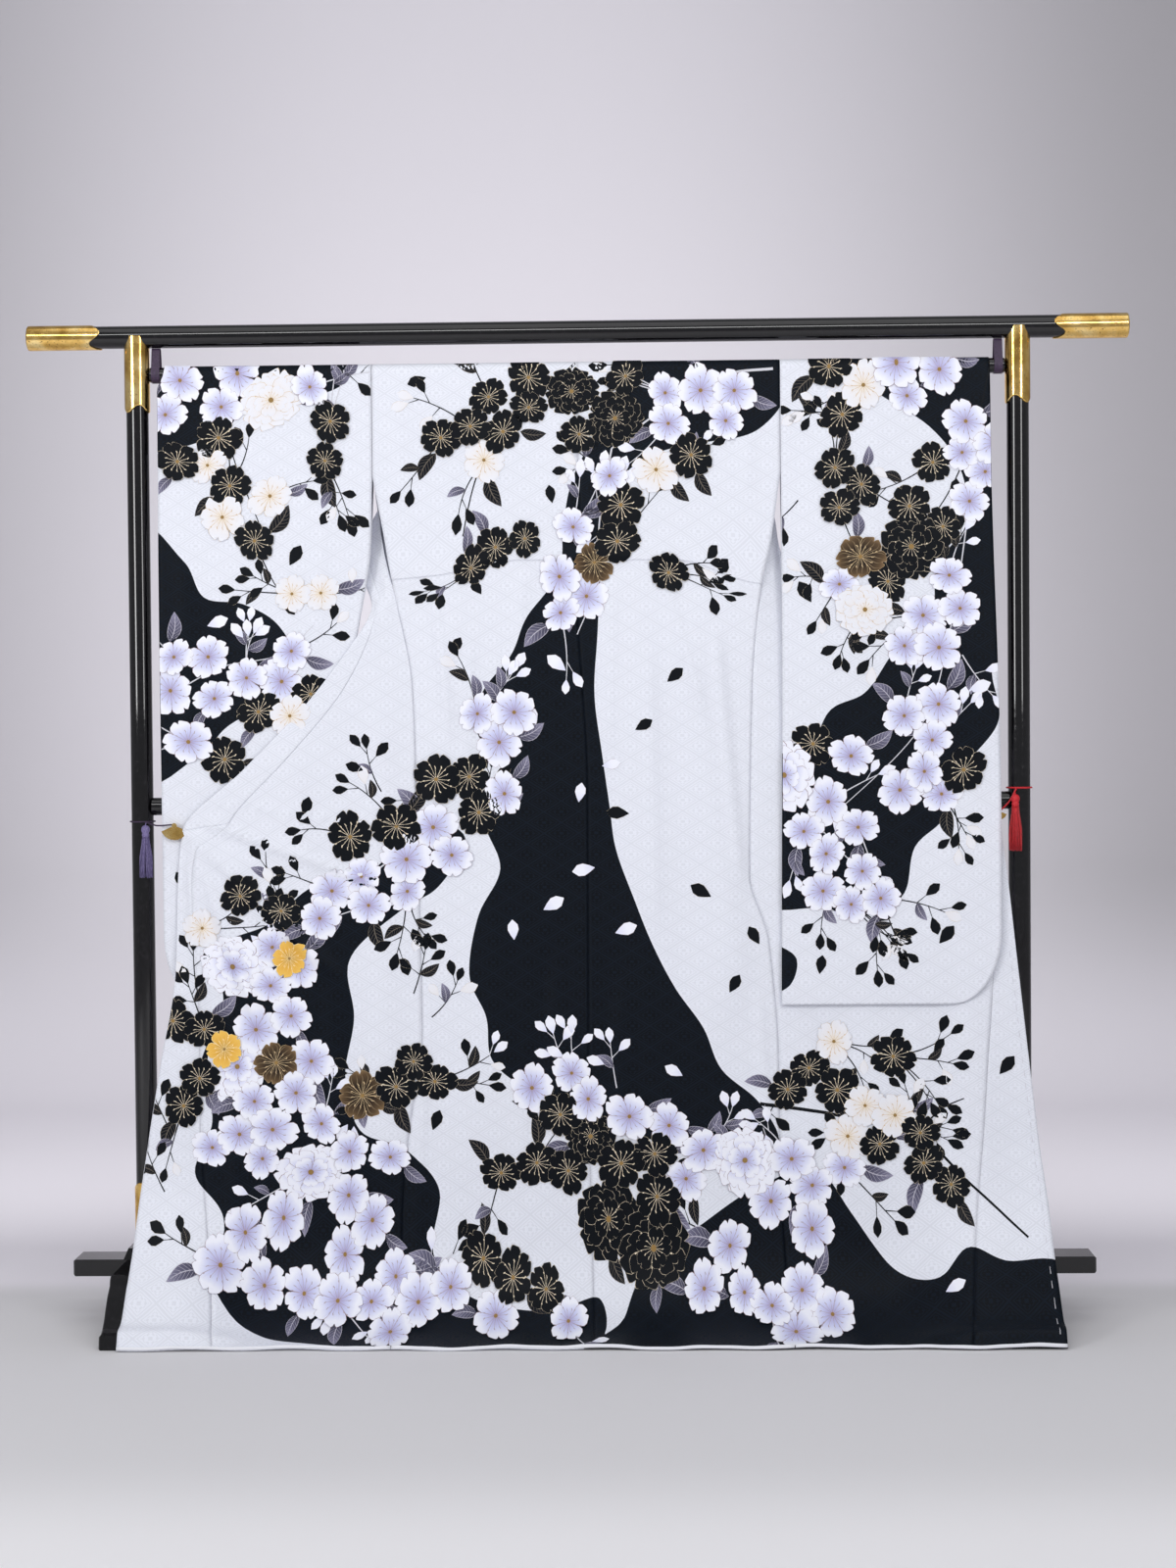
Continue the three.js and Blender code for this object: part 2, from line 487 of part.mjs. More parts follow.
// What a bar along x takes out of the pieces it fits against, GAP clear of it all round.
const railClearance = (bar, half) => roundPiece({
  axis: 'x', outer: bar.radius + GAP, low: () => -half, high: () => half,
}).translate(0, 0, bar.z);
const postClearance = (x) => roundPiece({
  outer: POST.radius + GAP, low: () => 0, high: () => RAIL.z,
}).translate(x, 0, 0);

function post() {
  const shaft = roundPiece({
    outer: POST.radius, low: () => FOOT_RAIL.high + GAP, high: () => RAIL.z,
  });
  return cut(shaft, railClearance(RAIL, 60));
}

function railJoint(side) {
  const wave = (angle) => JOINT.wave * Math.sin(3 * angle + side);
  const sleeveRing = roundPiece({
    outer: POST.radius + JOINT.wall,
    inner: POST.radius + GAP,
    low: (angle) => RAIL.z - JOINT.drop + wave(angle),
    high: () => RAIL.z - 2,
  });
  return cut(sleeveRing, railClearance(RAIL, 60));
}

function footJoint(side) {
  const wave = (angle) => JOINT.wave * Math.sin(2 * angle + side);
  return roundPiece({
    outer: POST.radius + JOINT.wall,
    inner: POST.radius + GAP,
    low: () => JOINT.footLow,
    high: (angle) => JOINT.footHigh + wave(angle),
  });
}

function railCap(side) {
  const bore = RAIL.radius + GAP;
  const radius = bore + CAP.wall;
  const start = RAIL.half - CAP.length;
  const wave = (angle) => CAP.wave * Math.cos(3 * angle + 1);
  const tube = roundPiece({
    axis: 'x', outer: radius, inner: bore, low: (angle) => start + wave(angle), high: () => RAIL.half + GAP,
  });
  const disc = roundPiece({
    axis: 'x', outer: radius, low: () => RAIL.half + GAP, high: () => RAIL.half + GAP + CAP.end,
  });
  const cap = toGeometry(solid(tube).add(solid(disc)));
  return side < 0 ? cap.rotateZ(Math.PI) : cap;
}

function midRail() {
  const bar = roundPiece({ axis: 'x', outer: MID_RAIL.radius, low: () => -POST.x, high: () => POST.x });
  return cut(bar.translate(0, 0, MID_RAIL.z), postClearance(-POST.x), postClearance(POST.x));
}

// A prism along x of an outline given as [y, z] points.
function alongX(outline, width, bevel = 0) {
  const shape = new THREE.Shape(outline.map(([y, z]) => new THREE.Vector2(y, z)));
  const geometry = new THREE.ExtrudeGeometry(shape, {
    depth: width - 2 * bevel, bevelEnabled: bevel > 0, bevelThickness: bevel, bevelSize: bevel,
    bevelOffset: -bevel, bevelSegments: 1,
  });
  geometry.translate(0, 0, -(width - 2 * bevel) / 2);
  // shape x becomes y, shape y becomes z and the extrusion runs along x
  geometry.applyMatrix4(new THREE.Matrix4().makeBasis(
    new THREE.Vector3(0, 1, 0), new THREE.Vector3(0, 0, 1), new THREE.Vector3(1, 0, 0),
  ));
  return geometry;
}

function footRail() {
  const y = FOOT_RAIL.depth / 2;
  return alongX([[-y, FOOT_RAIL.low], [y, FOOT_RAIL.low], [y, FOOT_RAIL.high], [-y, FOOT_RAIL.high]],
    2 * FOOT_RAIL.half, FOOT_RAIL.chamfer);
}

// Half of a foot's side outline, from the notch that holds the rail out to the toe.
const FOOT_OUTLINE = [
  { y: FOOT_RAIL.depth / 2 + GAP, z: FOOT_RAIL.low - GAP },
  { y: FOOT_RAIL.depth / 2 + GAP, z: 101 },
  { y: 92, z: 101 },
  { y: 98, z: 95 },
  { y: 101, z: 86 },
  { y: 120, z: 72 },
  { y: 134, z: 56 },
  { y: 146, z: 40 },
  { y: 160, z: 28 },
  { y: 170, z: 24 },
  { y: 186, z: 23 },
  { y: 190, z: 0 },
  { y: 120, z: 0 },
  { y: 108, z: 9 },
];
function foot() {
  const right = FOOT_OUTLINE.map(({ y, z }) => [y, z]);
  const left = [...right].reverse().map(([y, z]) => [-y, z]);
  return alongX([...left, ...right].reverse(), FOOT.width, FOOT.bevel);
}

function postBase() {
  const radius = Math.SQRT1_2;
  const block = new THREE.CylinderGeometry(POST_BASE.top * radius, POST_BASE.low * radius, POST_BASE.height, 4);
  block.rotateY(Math.PI / 4);
  block.rotateX(Math.PI / 2);
  block.translate(0, 0, FOOT_RAIL.high + GAP + POST_BASE.height / 2);
  const bore = roundPiece({
    outer: POST.radius + GAP, low: () => FOOT_RAIL.high - 10, high: () => FOOT_RAIL.high + 40,
  });
  return cut(block, bore);
}

// A flat band that carries the rod: a loop round it, drawn in to the underside of the rail.
function rodBand() {
  const low = ROD.radius + GAP;
  const high = BAND.top;
  const highZ = RAIL.z - RAIL.radius - GAP - BAND.thick - BAND.top;
  const distance = highZ - ROD.z;
  const loop = (grow) => {
    const lean = Math.asin((high - low) / distance);
    const arc = (centre, radius, from, to) => steps(from, to, 12)
      .map((a) => [radius * Math.cos(a), centre + radius * Math.sin(a)]);
    return [
      ...arc(highZ, high + grow, -lean, Math.PI + lean),
      ...arc(ROD.z, low + grow, Math.PI + lean, 2 * Math.PI - lean),
    ];
  };
  const shape = new THREE.Shape(loop(BAND.thick).map(([y, z]) => new THREE.Vector2(y, z)));
  shape.holes.push(new THREE.Path(loop(0).map(([y, z]) => new THREE.Vector2(y, z))));
  const geometry = new THREE.ExtrudeGeometry(shape, { depth: BAND.width, bevelEnabled: false });
  geometry.translate(0, 0, -BAND.width / 2);
  geometry.applyMatrix4(new THREE.Matrix4().makeBasis(
    new THREE.Vector3(0, 1, 0), new THREE.Vector3(0, 0, 1), new THREE.Vector3(1, 0, 0),
  ));
  return geometry;
}

// ---------------------------------------------------------------- clips and tassels
const CLIP = { ribs: 9, halfAngle: 1.15, hub: 4.2, hubThick: 3.2, plate: 1.6, raised: 0.5 };
const CLIPS = {
  left: { x: -678, y: -33.2, z: 846, radius: 24 },
  right: { x: 700, y: -22, z: 860, radius: 15 },
};
const TIES = {
  left: { z: 852, cord: 1.3, bow: 5 },
  right: { z: 898, cord: 1.5, bow: 0 },
};
const TASSELS = {
  left: { x: -727, y: -32, top: 847, length: 88, head: 7.5, skirt: 11.5 },
  right: { x: 727, y: -32, top: 888, length: 94, head: 7.5, skirt: 11.5 },
};

const TASSEL_REACH = 5; // the hanger leans back to the tie by this much
const TASSEL_ROOT = 0.5; // how near the middle a strand starts, as a share of where it ends

// A folding-fan plate: a sector of ribs in raised and sunk strips, opening downwards.
function fanClip({ x, y, z, radius }) {
  const { ribs, halfAngle: half, hub, hubThick } = CLIP;
  const pieces = steps(0, ribs, ribs).slice(0, -1).map((k) => {
    const shape = new THREE.Shape();
    const from = -Math.PI / 2 - half + (2 * half * k) / ribs;
    const to = from + (2 * half) / ribs + 0.02;
    shape.moveTo(3 * Math.cos(from), 3 * Math.sin(from));
    shape.lineTo(radius * Math.cos(from), radius * Math.sin(from));
    shape.lineTo(radius * Math.cos((from + to) / 2), radius * 1.03 * Math.sin((from + to) / 2));
    shape.lineTo(radius * Math.cos(to), radius * Math.sin(to));
    shape.lineTo(3 * Math.cos(to), 3 * Math.sin(to));
    const rib = new THREE.ExtrudeGeometry(shape, { depth: CLIP.plate + CLIP.raised * (k % 2), bevelEnabled: false });
    return solid(rib);
  });
  const boss = new THREE.CylinderGeometry(hub, hub, hubThick, 12).rotateX(Math.PI / 2).translate(0, 0, hubThick / 2);
  const plate = toGeometry(wasm.Manifold.union([...pieces, solid(boss)]));
  return plate.rotateX(Math.PI / 2).translate(x, y, z);
}

function roundTube(points, radius) {
  const path = new THREE.CatmullRomCurve3(points.map((p) => new THREE.Vector3(...p)));
  const section = new THREE.Shape();
  section.absarc(0, 0, radius, 0, 2 * Math.PI);
  return new THREE.ExtrudeGeometry(section, {
    steps: 6, curveSegments: 3, bevelEnabled: false, extrudePath: path,
  });
}

// A cord looped round the post, with a tail to the clip in front of the cloth.
const TIE_SLACK = 1; // between the cord and the post
function tie(side, clip) {
  const { z, cord, bow } = TIES[side];
  const x = (side === 'left' ? -1 : 1) * POST.x;
  const ring = new THREE.TorusGeometry(POST.radius + cord + TIE_SLACK, cord, 5, 18).translate(x, 0, z);
  const front = -(POST.radius + cord + GAP);
  const start = [x + (side === 'left' ? 7 : -7), front * 0.94, z];
  const middle = [(x + clip.x) / 2, (front + clip.y) / 2 - bow, (z + clip.z) / 2 - 3];
  const end = [clip.x + (side === 'left' ? -4.4 : 4.4), clip.y - 1.2, clip.z + 1.5];
  return toGeometry(solid(ring).add(solid(roundTube([start, middle, end], cord))));
}

function tassel({ x, y, top, length, head, skirt }) {
  const knot = solid(new THREE.SphereGeometry(head, 10, 6));
  const rings = [{ count: 1, radius: 0 }, { count: 7, radius: skirt * 0.5 }, { count: 14, radius: skirt }];
  const strands = rings.flatMap((ring) => steps(0, 2 * Math.PI, ring.count).slice(0, -1).map((angle, i) => {
    const drop = length - head + 2.5 * Math.sin(5 * i + ring.count);
    const strand = new THREE.CylinderGeometry(0.9, 1.1, drop, 3, 1);
    strand.rotateX(Math.PI / 2);
    strand.translate(0, 0, -drop / 2);
    strand.rotateY(-Math.atan(((1 - TASSEL_ROOT) * ring.radius) / drop));
    strand.translate(TASSEL_ROOT * ring.radius, 0, -1);
    return solid(strand.rotateZ(angle));
  }));
  const neck = solid(new THREE.CylinderGeometry(head * 0.98, head * 0.98, 7, 12).rotateX(Math.PI / 2)
    .translate(0, 0, -5));
  const hanger = solid(roundTube([[0, 0, 0], [0, 1, head + 1], [0, TASSEL_REACH, head + 4]], 0.9));
  return toGeometry(wasm.Manifold.union([knot, neck, hanger, ...strands])).translate(x, y, top - head);
}

// ---------------------------------------------------------------- joining and cutting
function solid(geometry) {
  const bare = new THREE.BufferGeometry();
  bare.setAttribute('position', geometry.getAttribute('position').clone());
  if (geometry.index) bare.setIndex(geometry.index.clone());
  const merged = mergeVertices(bare, 1e-4);
  return new wasm.Manifold(new wasm.Mesh({
    numProp: 3,
    vertProperties: new Float32Array(merged.getAttribute('position').array),
    triVerts: new Uint32Array(merged.index.array),
  }));
}

function cut(geometry, ...tools) {
  return toGeometry(tools.reduce((rest, tool) => rest.subtract(solid(tool)), solid(geometry)));
}

function toGeometry(manifold) {
  const { vertProperties, triVerts, numProp } = manifold.getMesh();
  const positions = [];
  for (let i = 0; i < vertProperties.length; i += numProp) {
    positions.push(vertProperties[i], vertProperties[i + 1], vertProperties[i + 2]);
  }
  return closed(positions, Array.from(triVerts));
}

// ---------------------------------------------------------------- assembly
const FINISH = {
  silk: { color: 0xeceaf4, roughness: 0.55, metalness: 0 },
  lacquer: { color: 0x0b0b0d, roughness: 0.12, metalness: 0 },
  gold: { color: 0xc8963c, roughness: 0.28, metalness: 1 },
  purple: { color: 0x5a4a86, roughness: 0.6, metalness: 0 },
  darkPurple: { color: 0x2a1533, roughness: 0.7, metalness: 0 },
  red: { color: 0xc41424, roughness: 0.5, metalness: 0 },
};
const materials = Object.fromEntries(
  Object.entries(FINISH).map(([name, look]) => [name, new THREE.MeshStandardMaterial(look)]),
);
const group = new THREE.Group();
group.position.y = POST_PLANE;

function add(name, geometry, finish, x = 0) {
  const mesh = new THREE.Mesh(geometry, materials[finish]);
  mesh.name = name;
  mesh.position.x = x;
  group.add(mesh);
}

const SIDES = [{ side: -1, name: 'left' }, { side: 1, name: 'right' }];

for (const { side, name } of SIDES) {
  add(`back_${name}`, backPanel(side), 'silk');
  add(`front_${name}`, frontPanel(side, name), 'silk');
  add(`okumi_${name}`, okumiPanel(side, name), 'silk');
  add(`collar_${name}`, collarSide(side, name), 'silk');
  add(`sleeve_${name}`, sleeve(side, name), 'silk');
}
add('collar_neck', collarNeck(), 'silk');

const bar = (half) => ({ axis: 'x', low: () => -half, high: () => half });
add('top_rail', roundPiece({ outer: RAIL.radius, ...bar(RAIL.half) }).translate(0, 0, RAIL.z), 'lacquer');
add('rod', roundPiece({ outer: ROD.radius, ...bar(ROD.half) }).translate(0, 0, ROD.z), 'lacquer');
add('mid_rail', midRail(), 'lacquer');
add('foot_rail', footRail(), 'lacquer');
for (const { side, name } of SIDES) {
  const x = side * POST.x;
  add(`rail_cap_${name}`, railCap(side).translate(0, 0, RAIL.z), 'gold');
  add(`post_${name}`, post(), 'lacquer', x);
  add(`rail_joint_${name}`, railJoint(side), 'gold', x);
  add(`foot_joint_${name}`, footJoint(side), 'gold', x);
  add(`post_base_${name}`, postBase(), 'lacquer', x);
  add(`foot_${name}`, foot(), 'lacquer', x);
  add(`rod_band_${name}`, rodBand(), 'darkPurple', side * BAND.x);
  add(`clip_${name}`, fanClip(CLIPS[name]), 'gold');
  add(`tie_${name}`, tie(name, CLIPS[name]), name === 'left' ? 'darkPurple' : 'red');
  add(`tassel_${name}`, tassel(TASSELS[name]), name === 'left' ? 'purple' : 'red');
}

export default group;
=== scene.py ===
"""A long-sleeved furisode kimono, spread with its back to the front on a lacquered kimono stand.

The cloth is worked out in millimetres in a chart: x to the right and h, the height along the cloth,
from 0 at the hem to 1616.9 on the shoulder line over the rod. Panels turn chart places into space.
"""
from __future__ import annotations

import logging
import math
from dataclasses import dataclass, field
from enum import Enum, IntEnum
from typing import Callable, Iterable, Sequence

import bmesh
import bpy
import numpy as np
from mathutils import Matrix, Vector

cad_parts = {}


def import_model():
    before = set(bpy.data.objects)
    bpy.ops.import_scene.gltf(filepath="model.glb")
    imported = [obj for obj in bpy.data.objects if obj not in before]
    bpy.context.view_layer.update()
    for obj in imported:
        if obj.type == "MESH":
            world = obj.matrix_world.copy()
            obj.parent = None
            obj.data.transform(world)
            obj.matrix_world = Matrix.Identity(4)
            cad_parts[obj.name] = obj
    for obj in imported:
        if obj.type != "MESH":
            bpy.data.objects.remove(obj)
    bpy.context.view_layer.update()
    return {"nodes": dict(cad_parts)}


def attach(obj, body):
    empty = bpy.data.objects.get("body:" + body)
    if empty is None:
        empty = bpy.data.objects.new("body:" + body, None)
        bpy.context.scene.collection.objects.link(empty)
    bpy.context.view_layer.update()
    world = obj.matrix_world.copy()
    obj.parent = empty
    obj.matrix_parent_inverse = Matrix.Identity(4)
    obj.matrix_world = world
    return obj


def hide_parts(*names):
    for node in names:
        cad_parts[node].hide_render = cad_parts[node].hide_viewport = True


LOG = logging.getLogger("furisode")
MM = 0.001
PLANE_Y = 6.0  # y of the plane that holds posts, rails and rod, in the row frame
ROD_Z, ROD_R = 1603.0, 12.7
FOLD_R = 13.9  # middle of the cloth where it lies over the rod
SHOULDER_H = ROD_Z + FOLD_R
SWEEP_H = 300.0  # below it the cloth sweeps forward to the floor
TUCK_H, TUCK_STEP = 1284.0, 2.4
CLIP_H = 895.0  # row of a front that its clip holds: collar above, okumi below
SPREAD_H = 1200.0  # below it a front shows beside the back
SILK_T, COLLAR_T = 0.5, 0.9
ROWS_TOP, SLEEVE_LOW = 1598.0, 538.0  # from the rod's side down to a sleeve's foot
FINE_ROW = 4.0  # row spacing at a lower edge
HALF_BACK = 340.0
UNDYED = -50.0  # ink value of cloth that no pool reaches
TURNED_SIDES = 72
SHARP = math.radians(15)  # turned edges steeper than this stay crisp
ON_AXIS = 0.001  # radius of a turned profile's ends, which closed_ends shuts

Array = np.ndarray
Pair = tuple[float, float]
Triple = tuple[float, float, float]  # a colour, or a place
Stops = tuple[tuple[float, Triple], ...]
Form = tuple[Array, Array, Array]  # local points, uv and quads
Socket = bpy.types.NodeSocket
Piece = bpy.types.Object


# --------------------------------------------------------------------------- small mathematics
@dataclass(frozen=True)
class Curve:
    """A smooth curve through (place, value) pairs that never overshoots them."""

    points: tuple[Pair, ...]

    def __call__(self, at: Array | float) -> Array:
        """Value at each place: a cubic between neighbours, with harmonic mean slopes.

        Args:
            at: places, clipped to the curve's own range.

        Returns:
            An array of values.
        """
        x, y = np.array(sorted(self.points), float).T
        rise = np.diff(y) / np.diff(x)
        same = rise[:-1] * rise[1:] > 0
        mean = np.where(same, 2 * rise[:-1] * rise[1:] / np.where(same, rise[:-1] + rise[1:], 1), 0)
        slope = np.concatenate([[rise[0]], mean, [rise[-1]]])
        at = np.clip(np.asarray(at, float), x[0], x[-1])
        i = np.clip(np.searchsorted(x, at, side="right") - 1, 0, len(x) - 2)
        width = x[i + 1] - x[i]
        t = (at - x[i]) / width
        low = (1 + 2 * t) * (1 - t) ** 2 * y[i] + width * t * (1 - t) ** 2 * slope[i]
        return low + t**2 * (3 - 2 * t) * y[i + 1] - width * t**2 * (1 - t) * slope[i + 1]


def ease(t: Array | float) -> Array:
    """0 below 0, 1 above 1 and a smooth S between them."""
    t = np.clip(t, 0, 1)
    return t * t * (3 - 2 * t)


def bell(t: Array | float) -> Array:
    """A smooth hump of height 1 at 0."""
    return np.exp(-np.square(t))


def mix(a: Array | float, b: Array | float, t: Array | float) -> Array:
    """a at t = 0 and b at t = 1."""
    return a + (b - a) * t


def catmull_rom(a: Array, b: Array, c: Array, d: Array, t: Array) -> Array:
    """Places from b to c along the cubic through four neighbours."""
    return 0.5 * (2 * b + (c - a) * t + (2 * a - 5 * b + 4 * c - d) * t**2 + (3 * b - a - 3 * c + d) * t**3)


def run_along(path: Array) -> Array:
    """The length run at each point of a path."""
    return np.concatenate([[0], np.cumsum(np.linalg.norm(np.diff(path, axis=0), axis=1))])


def resampled(path: Array, spacing: float) -> Array:
    """The path at even steps of about `spacing`."""
    run = run_along(path)
    at = np.linspace(0, run[-1], max(3, int(run[-1] / spacing) + 1))
    return np.stack([np.interp(at, run, path[:, k]) for k in range(path.shape[1])], -1)


def bent(points: Sequence[Pair]) -> Array:
    """A smooth open curve through the points, with doubled ends."""
    p = np.array([points[0], *points, points[-1]], float)
    t = np.linspace(0, 1, 12, endpoint=False)[None, :, None]
    spans = catmull_rom(p[:-3, None], p[1:-2, None], p[2:-1, None], p[3:, None], t)
    return np.vstack([spans.reshape(-1, 2), p[-1:]])


def descending(*groups: Iterable[float]) -> Array:
    """The heights of all the groups, once each, from the highest down."""
    return np.array(sorted({h for group in groups for h in group}, reverse=True))


def rows_between(top: float, low: float, spacing: float, extra: Sequence[float] = ()) -> Array:
    """Heights from top down to low at about the spacing, with extra heights where detail sits."""
    even = np.linspace(top, low, int(abs(top - low) / spacing) + 2)
    return descending(round(float(h), 3) for h in (*even, *extra))


def rod_angle(h: Array) -> Array:
    """The angle round the rod of cloth at a height above its middle, 0 on the shoulder line."""
    return (SHOULDER_H - h) / FOLD_R * (math.pi / 2)


# --------------------------------------------------------------------------- how the cloth hangs
SIDE_LEFT = Curve((
    (1426, -341), (1323, -322), (1285, -316), (1219, -303), (1076, -277), (909, -272), (741, -269),
    (489, -266), (418, -277), (173, -304), (0, -306),
))
SIDE_RIGHT = Curve((
    (1426, 341), (1300, 322), (1251, 310), (1071, 292), (755, 286), (645, 317), (448, 332), (251, 334),
    (97, 343), (0, 346),
))
CENTRE = Curve(((1610, 4), (1303, 4), (1238, 0), (910, 15), (416, 13), (0, 22)))
TUCK_LINE = Curve(((-330, 1254), (-235, 1262), (-96, 1286), (166, 1284), (289, 1246), (330, 1240)))
BACK_Y = Curve(((1603, -13.9), (1426, -17), (1300, -20), (1100, -22), (300, -22)))

# the sweep to the floor, from 0 at SWEEP_H to 1 at the hem: free between the feet, propped on a foot
SWEEP_Y = Curve(((0, -22), (0.25, -23), (0.45, -29), (0.62, -50), (0.72, -75), (0.84, -122), (0.91, -156),
                 (0.96, -179), (1, -200)))
SWEEP_Z = Curve(((0, 300), (0.25, 222), (0.45, 142), (0.62, 74), (0.72, 42), (0.84, 15), (0.91, 6),
                 (0.96, 2.5), (1, 1)))
SWEEP_FOOT_Y = Curve(((0, -22), (0.25, -36), (0.45, -64), (0.62, -103), (0.72, -128), (0.84, -168),
                      (0.91, -190), (0.96, -197), (1, -201)))
SWEEP_FOOT_Z = Curve(((0, 300), (0.25, 226), (0.45, 160), (0.62, 108), (0.72, 81), (0.84, 38), (0.91, 30),
                      (0.96, 13), (1, 1)))


@dataclass(frozen=True)
class Fold:
    """A soft ridge (depth > 0 stands forward) along a line from (x_top, top) to (x_low, low)."""

    x_top: float
    top: float
    x_low: float
    low: float
    depth: float
    width: float
    fade: float

    def depth_at(self, x: Array, h: Array) -> Array:
        """Depth times a hump across the line, faded out over `fade` at both ends."""
        along = (self.top - h) / (self.top - self.low)
        inside = ease((self.top - h) / self.fade + 0.5) * ease((h - self.low) / self.fade + 0.5)
        return self.depth * inside * bell((x - mix(self.x_top, self.x_low, along)) / self.width)


BODY_FOLDS = (
    Fold(-210, 1210, -226, 820, 7, 34, 150), Fold(-120, 1240, -150, 330, 4, 46, 260),
    Fold(-40, 1200, -30, 60, 4, 60, 300), Fold(95, 1230, 130, 260, 6, 48, 260),
    Fold(190, 1180, 262, 560, 9, 36, 160), Fold(225, 600, 215, 40, 5, 50, 200),
    Fold(-585, 760, -470, 250, 9, 44, 150), Fold(-500, 1000, -430, 560, 7, 40, 140),
    Fold(-330, 1080, -325, 200, 4, 26, 200), Fold(-660, 640, -690, 60, 6, 34, 160),
    Fold(640, 560, 690, 60, 7, 40, 160), Fold(480, 520, 470, 40, 5, 60, 160),
)
# finer creases of the dressed cloth: pulls from the clip, slack below the tuck, press marks
BODY_CREASES = (
    Fold(-650, 832, -420, 600, 5.5, 15, 70), Fold(-646, 812, -540, 520, 4.6, 13, 70),
    Fold(-630, 850, -330, 740, 3.6, 13, 50), Fold(-600, 880, -360, 850, 2.6, 10, 30),
    Fold(-652, 790, -640, 560, 3.6, 11, 70), Fold(-560, 760, -470, 560, -1.8, 16, 70),
    Fold(-240, 1235, -216, 1010, 2.2, 9, 60), Fold(-178, 1150, -190, 850, 1.6, 11, 80),
    Fold(150, 1240, 205, 1040, 2.2, 9, 60), Fold(232, 1150, 268, 760, 2.4, 11, 80),
    Fold(118, 1120, 128, 700, 1.6, 14, 90), Fold(60, 1250, 52, 980, 1.4, 10, 60),
    Fold(-90, 1262, -104, 1040, 1.5, 12, 60), Fold(-60, 620, -80, 240, -2.0, 16, 90),
    Fold(70, 560, 60, 120, 1.8, 15, 90), Fold(-260, 480, -282, 120, 2.0, 9, 80),
    Fold(300, 540, 322, 160, 2.2, 10, 70), Fold(400, 500, 420, 140, -1.8, 16, 80),
    Fold(560, 520, 600, 120, 2.0, 18, 90), Fold(-420, 560, -400, 160, 2.0, 14, 90),
    Fold(-560, 420, -600, 100, 2.2, 15, 70), Fold(-150, 1500, -148, 1330, 1.1, 22, 80),
    Fold(120, 1520, 116, 1340, 1.1, 24, 80), Fold(-300, 1560, -290, 1400, 1.2, 14, 60),
    Fold(290, 1560, 284, 1400, 1.2, 14, 60),
)
CREASE = 2.0  # how strongly the finer creases stand


def ridges(folds: Sequence[Fold], x: Array, h: Array) -> Array:
    """Sum of all the folds' depths, with forward as negative y."""
    return -sum((fold.depth_at(x, h) for fold in folds), np.zeros(np.broadcast(x, h).shape))


def body_relief(x: Array, h: Array) -> Array:
    """The body's large folds and finer creases together."""
    return ridges(BODY_FOLDS, x, h) + CREASE * ridges(BODY_CREASES, x, h)


def near_point(x: Array, h: Array, flat_y: Array) -> Array:
    """A near layer's place: round the rod above it, flat below, swept forward under SWEEP_H.

    Args:
        x: chart x. h: chart height. flat_y: the layer's depth where it hangs flat.

    Returns:
        Points of shape (..., 3), in millimetres.
    """
    x, h, flat_y = np.broadcast_arrays(x, h, flat_y)
    angle = rod_angle(h)
    q = np.clip(1 - h / SWEEP_H, 0, 1)
    foot = ease((np.abs(x) - 500) / 170)
    swept_y = mix(SWEEP_Y(q), SWEEP_FOOT_Y(q), foot) + (flat_y - SWEEP_Y(0.0)) * (1 - q) ** 1.5
    swept_z = mix(SWEEP_Z(q), SWEEP_FOOT_Z(q), foot)
    # the last rows lie slack, in small uneven waves
    slack = (1 + 0.62 * np.sin(x / 27) + 0.38 * np.sin(x / 71 + 2)) * ease((46 - h) / 46)
    swept_y = swept_y + 2.2 * slack
    swept_z = swept_z + 1.7 * slack
    over = h > ROD_Z
    low = h < SWEEP_H
    y = np.where(over, -FOLD_R * np.sin(angle), np.where(low, swept_y, flat_y))
    z = np.where(over, ROD_Z + FOLD_R * np.cos(angle), np.where(low, swept_z, h))
    return np.stack([x, y, z], axis=-1)


def follow_tuck(x: Array, h: Array) -> Array:
    """Heights near the tuck follow its line and come back to true above and below it."""
    return h + (TUCK_LINE(x) - TUCK_H) * ease(1 - np.abs(h - TUCK_H) / 74)


def back_point(x: Array, h: Array) -> Array:
    """The back's outer layer: flat depth, folds, creases, and the lap over the tuck."""
    height = follow_tuck(x, h)
    d = h - TUCK_H
    lap = np.where(d > 0, -TUCK_STEP * ease(1 - d / 44), -TUCK_STEP * ease(1 + d / 2))
    return near_point(x, height, BACK_Y(height) + body_relief(x, height) + lap)


# how far the turned cloth bellies out sideways behind the slit
FULLNESS_LEFT = Curve(((1460, 0), (1420, 30), (1372, 46), (1310, 30), (1262, 0)))
FULLNESS_RIGHT = Curve(((1460, 0), (1420, 7), (1376, 10), (1310, 0)))


class Row(IntEnum):
    """The numbers of a front's row: its height, its two edges, and its slack to the far side."""

    H = 0
    X = 1
    Y = 2
    FREE_X = 3
    FREE_Y = 4
    FREE_H = 5
    BAG = 6


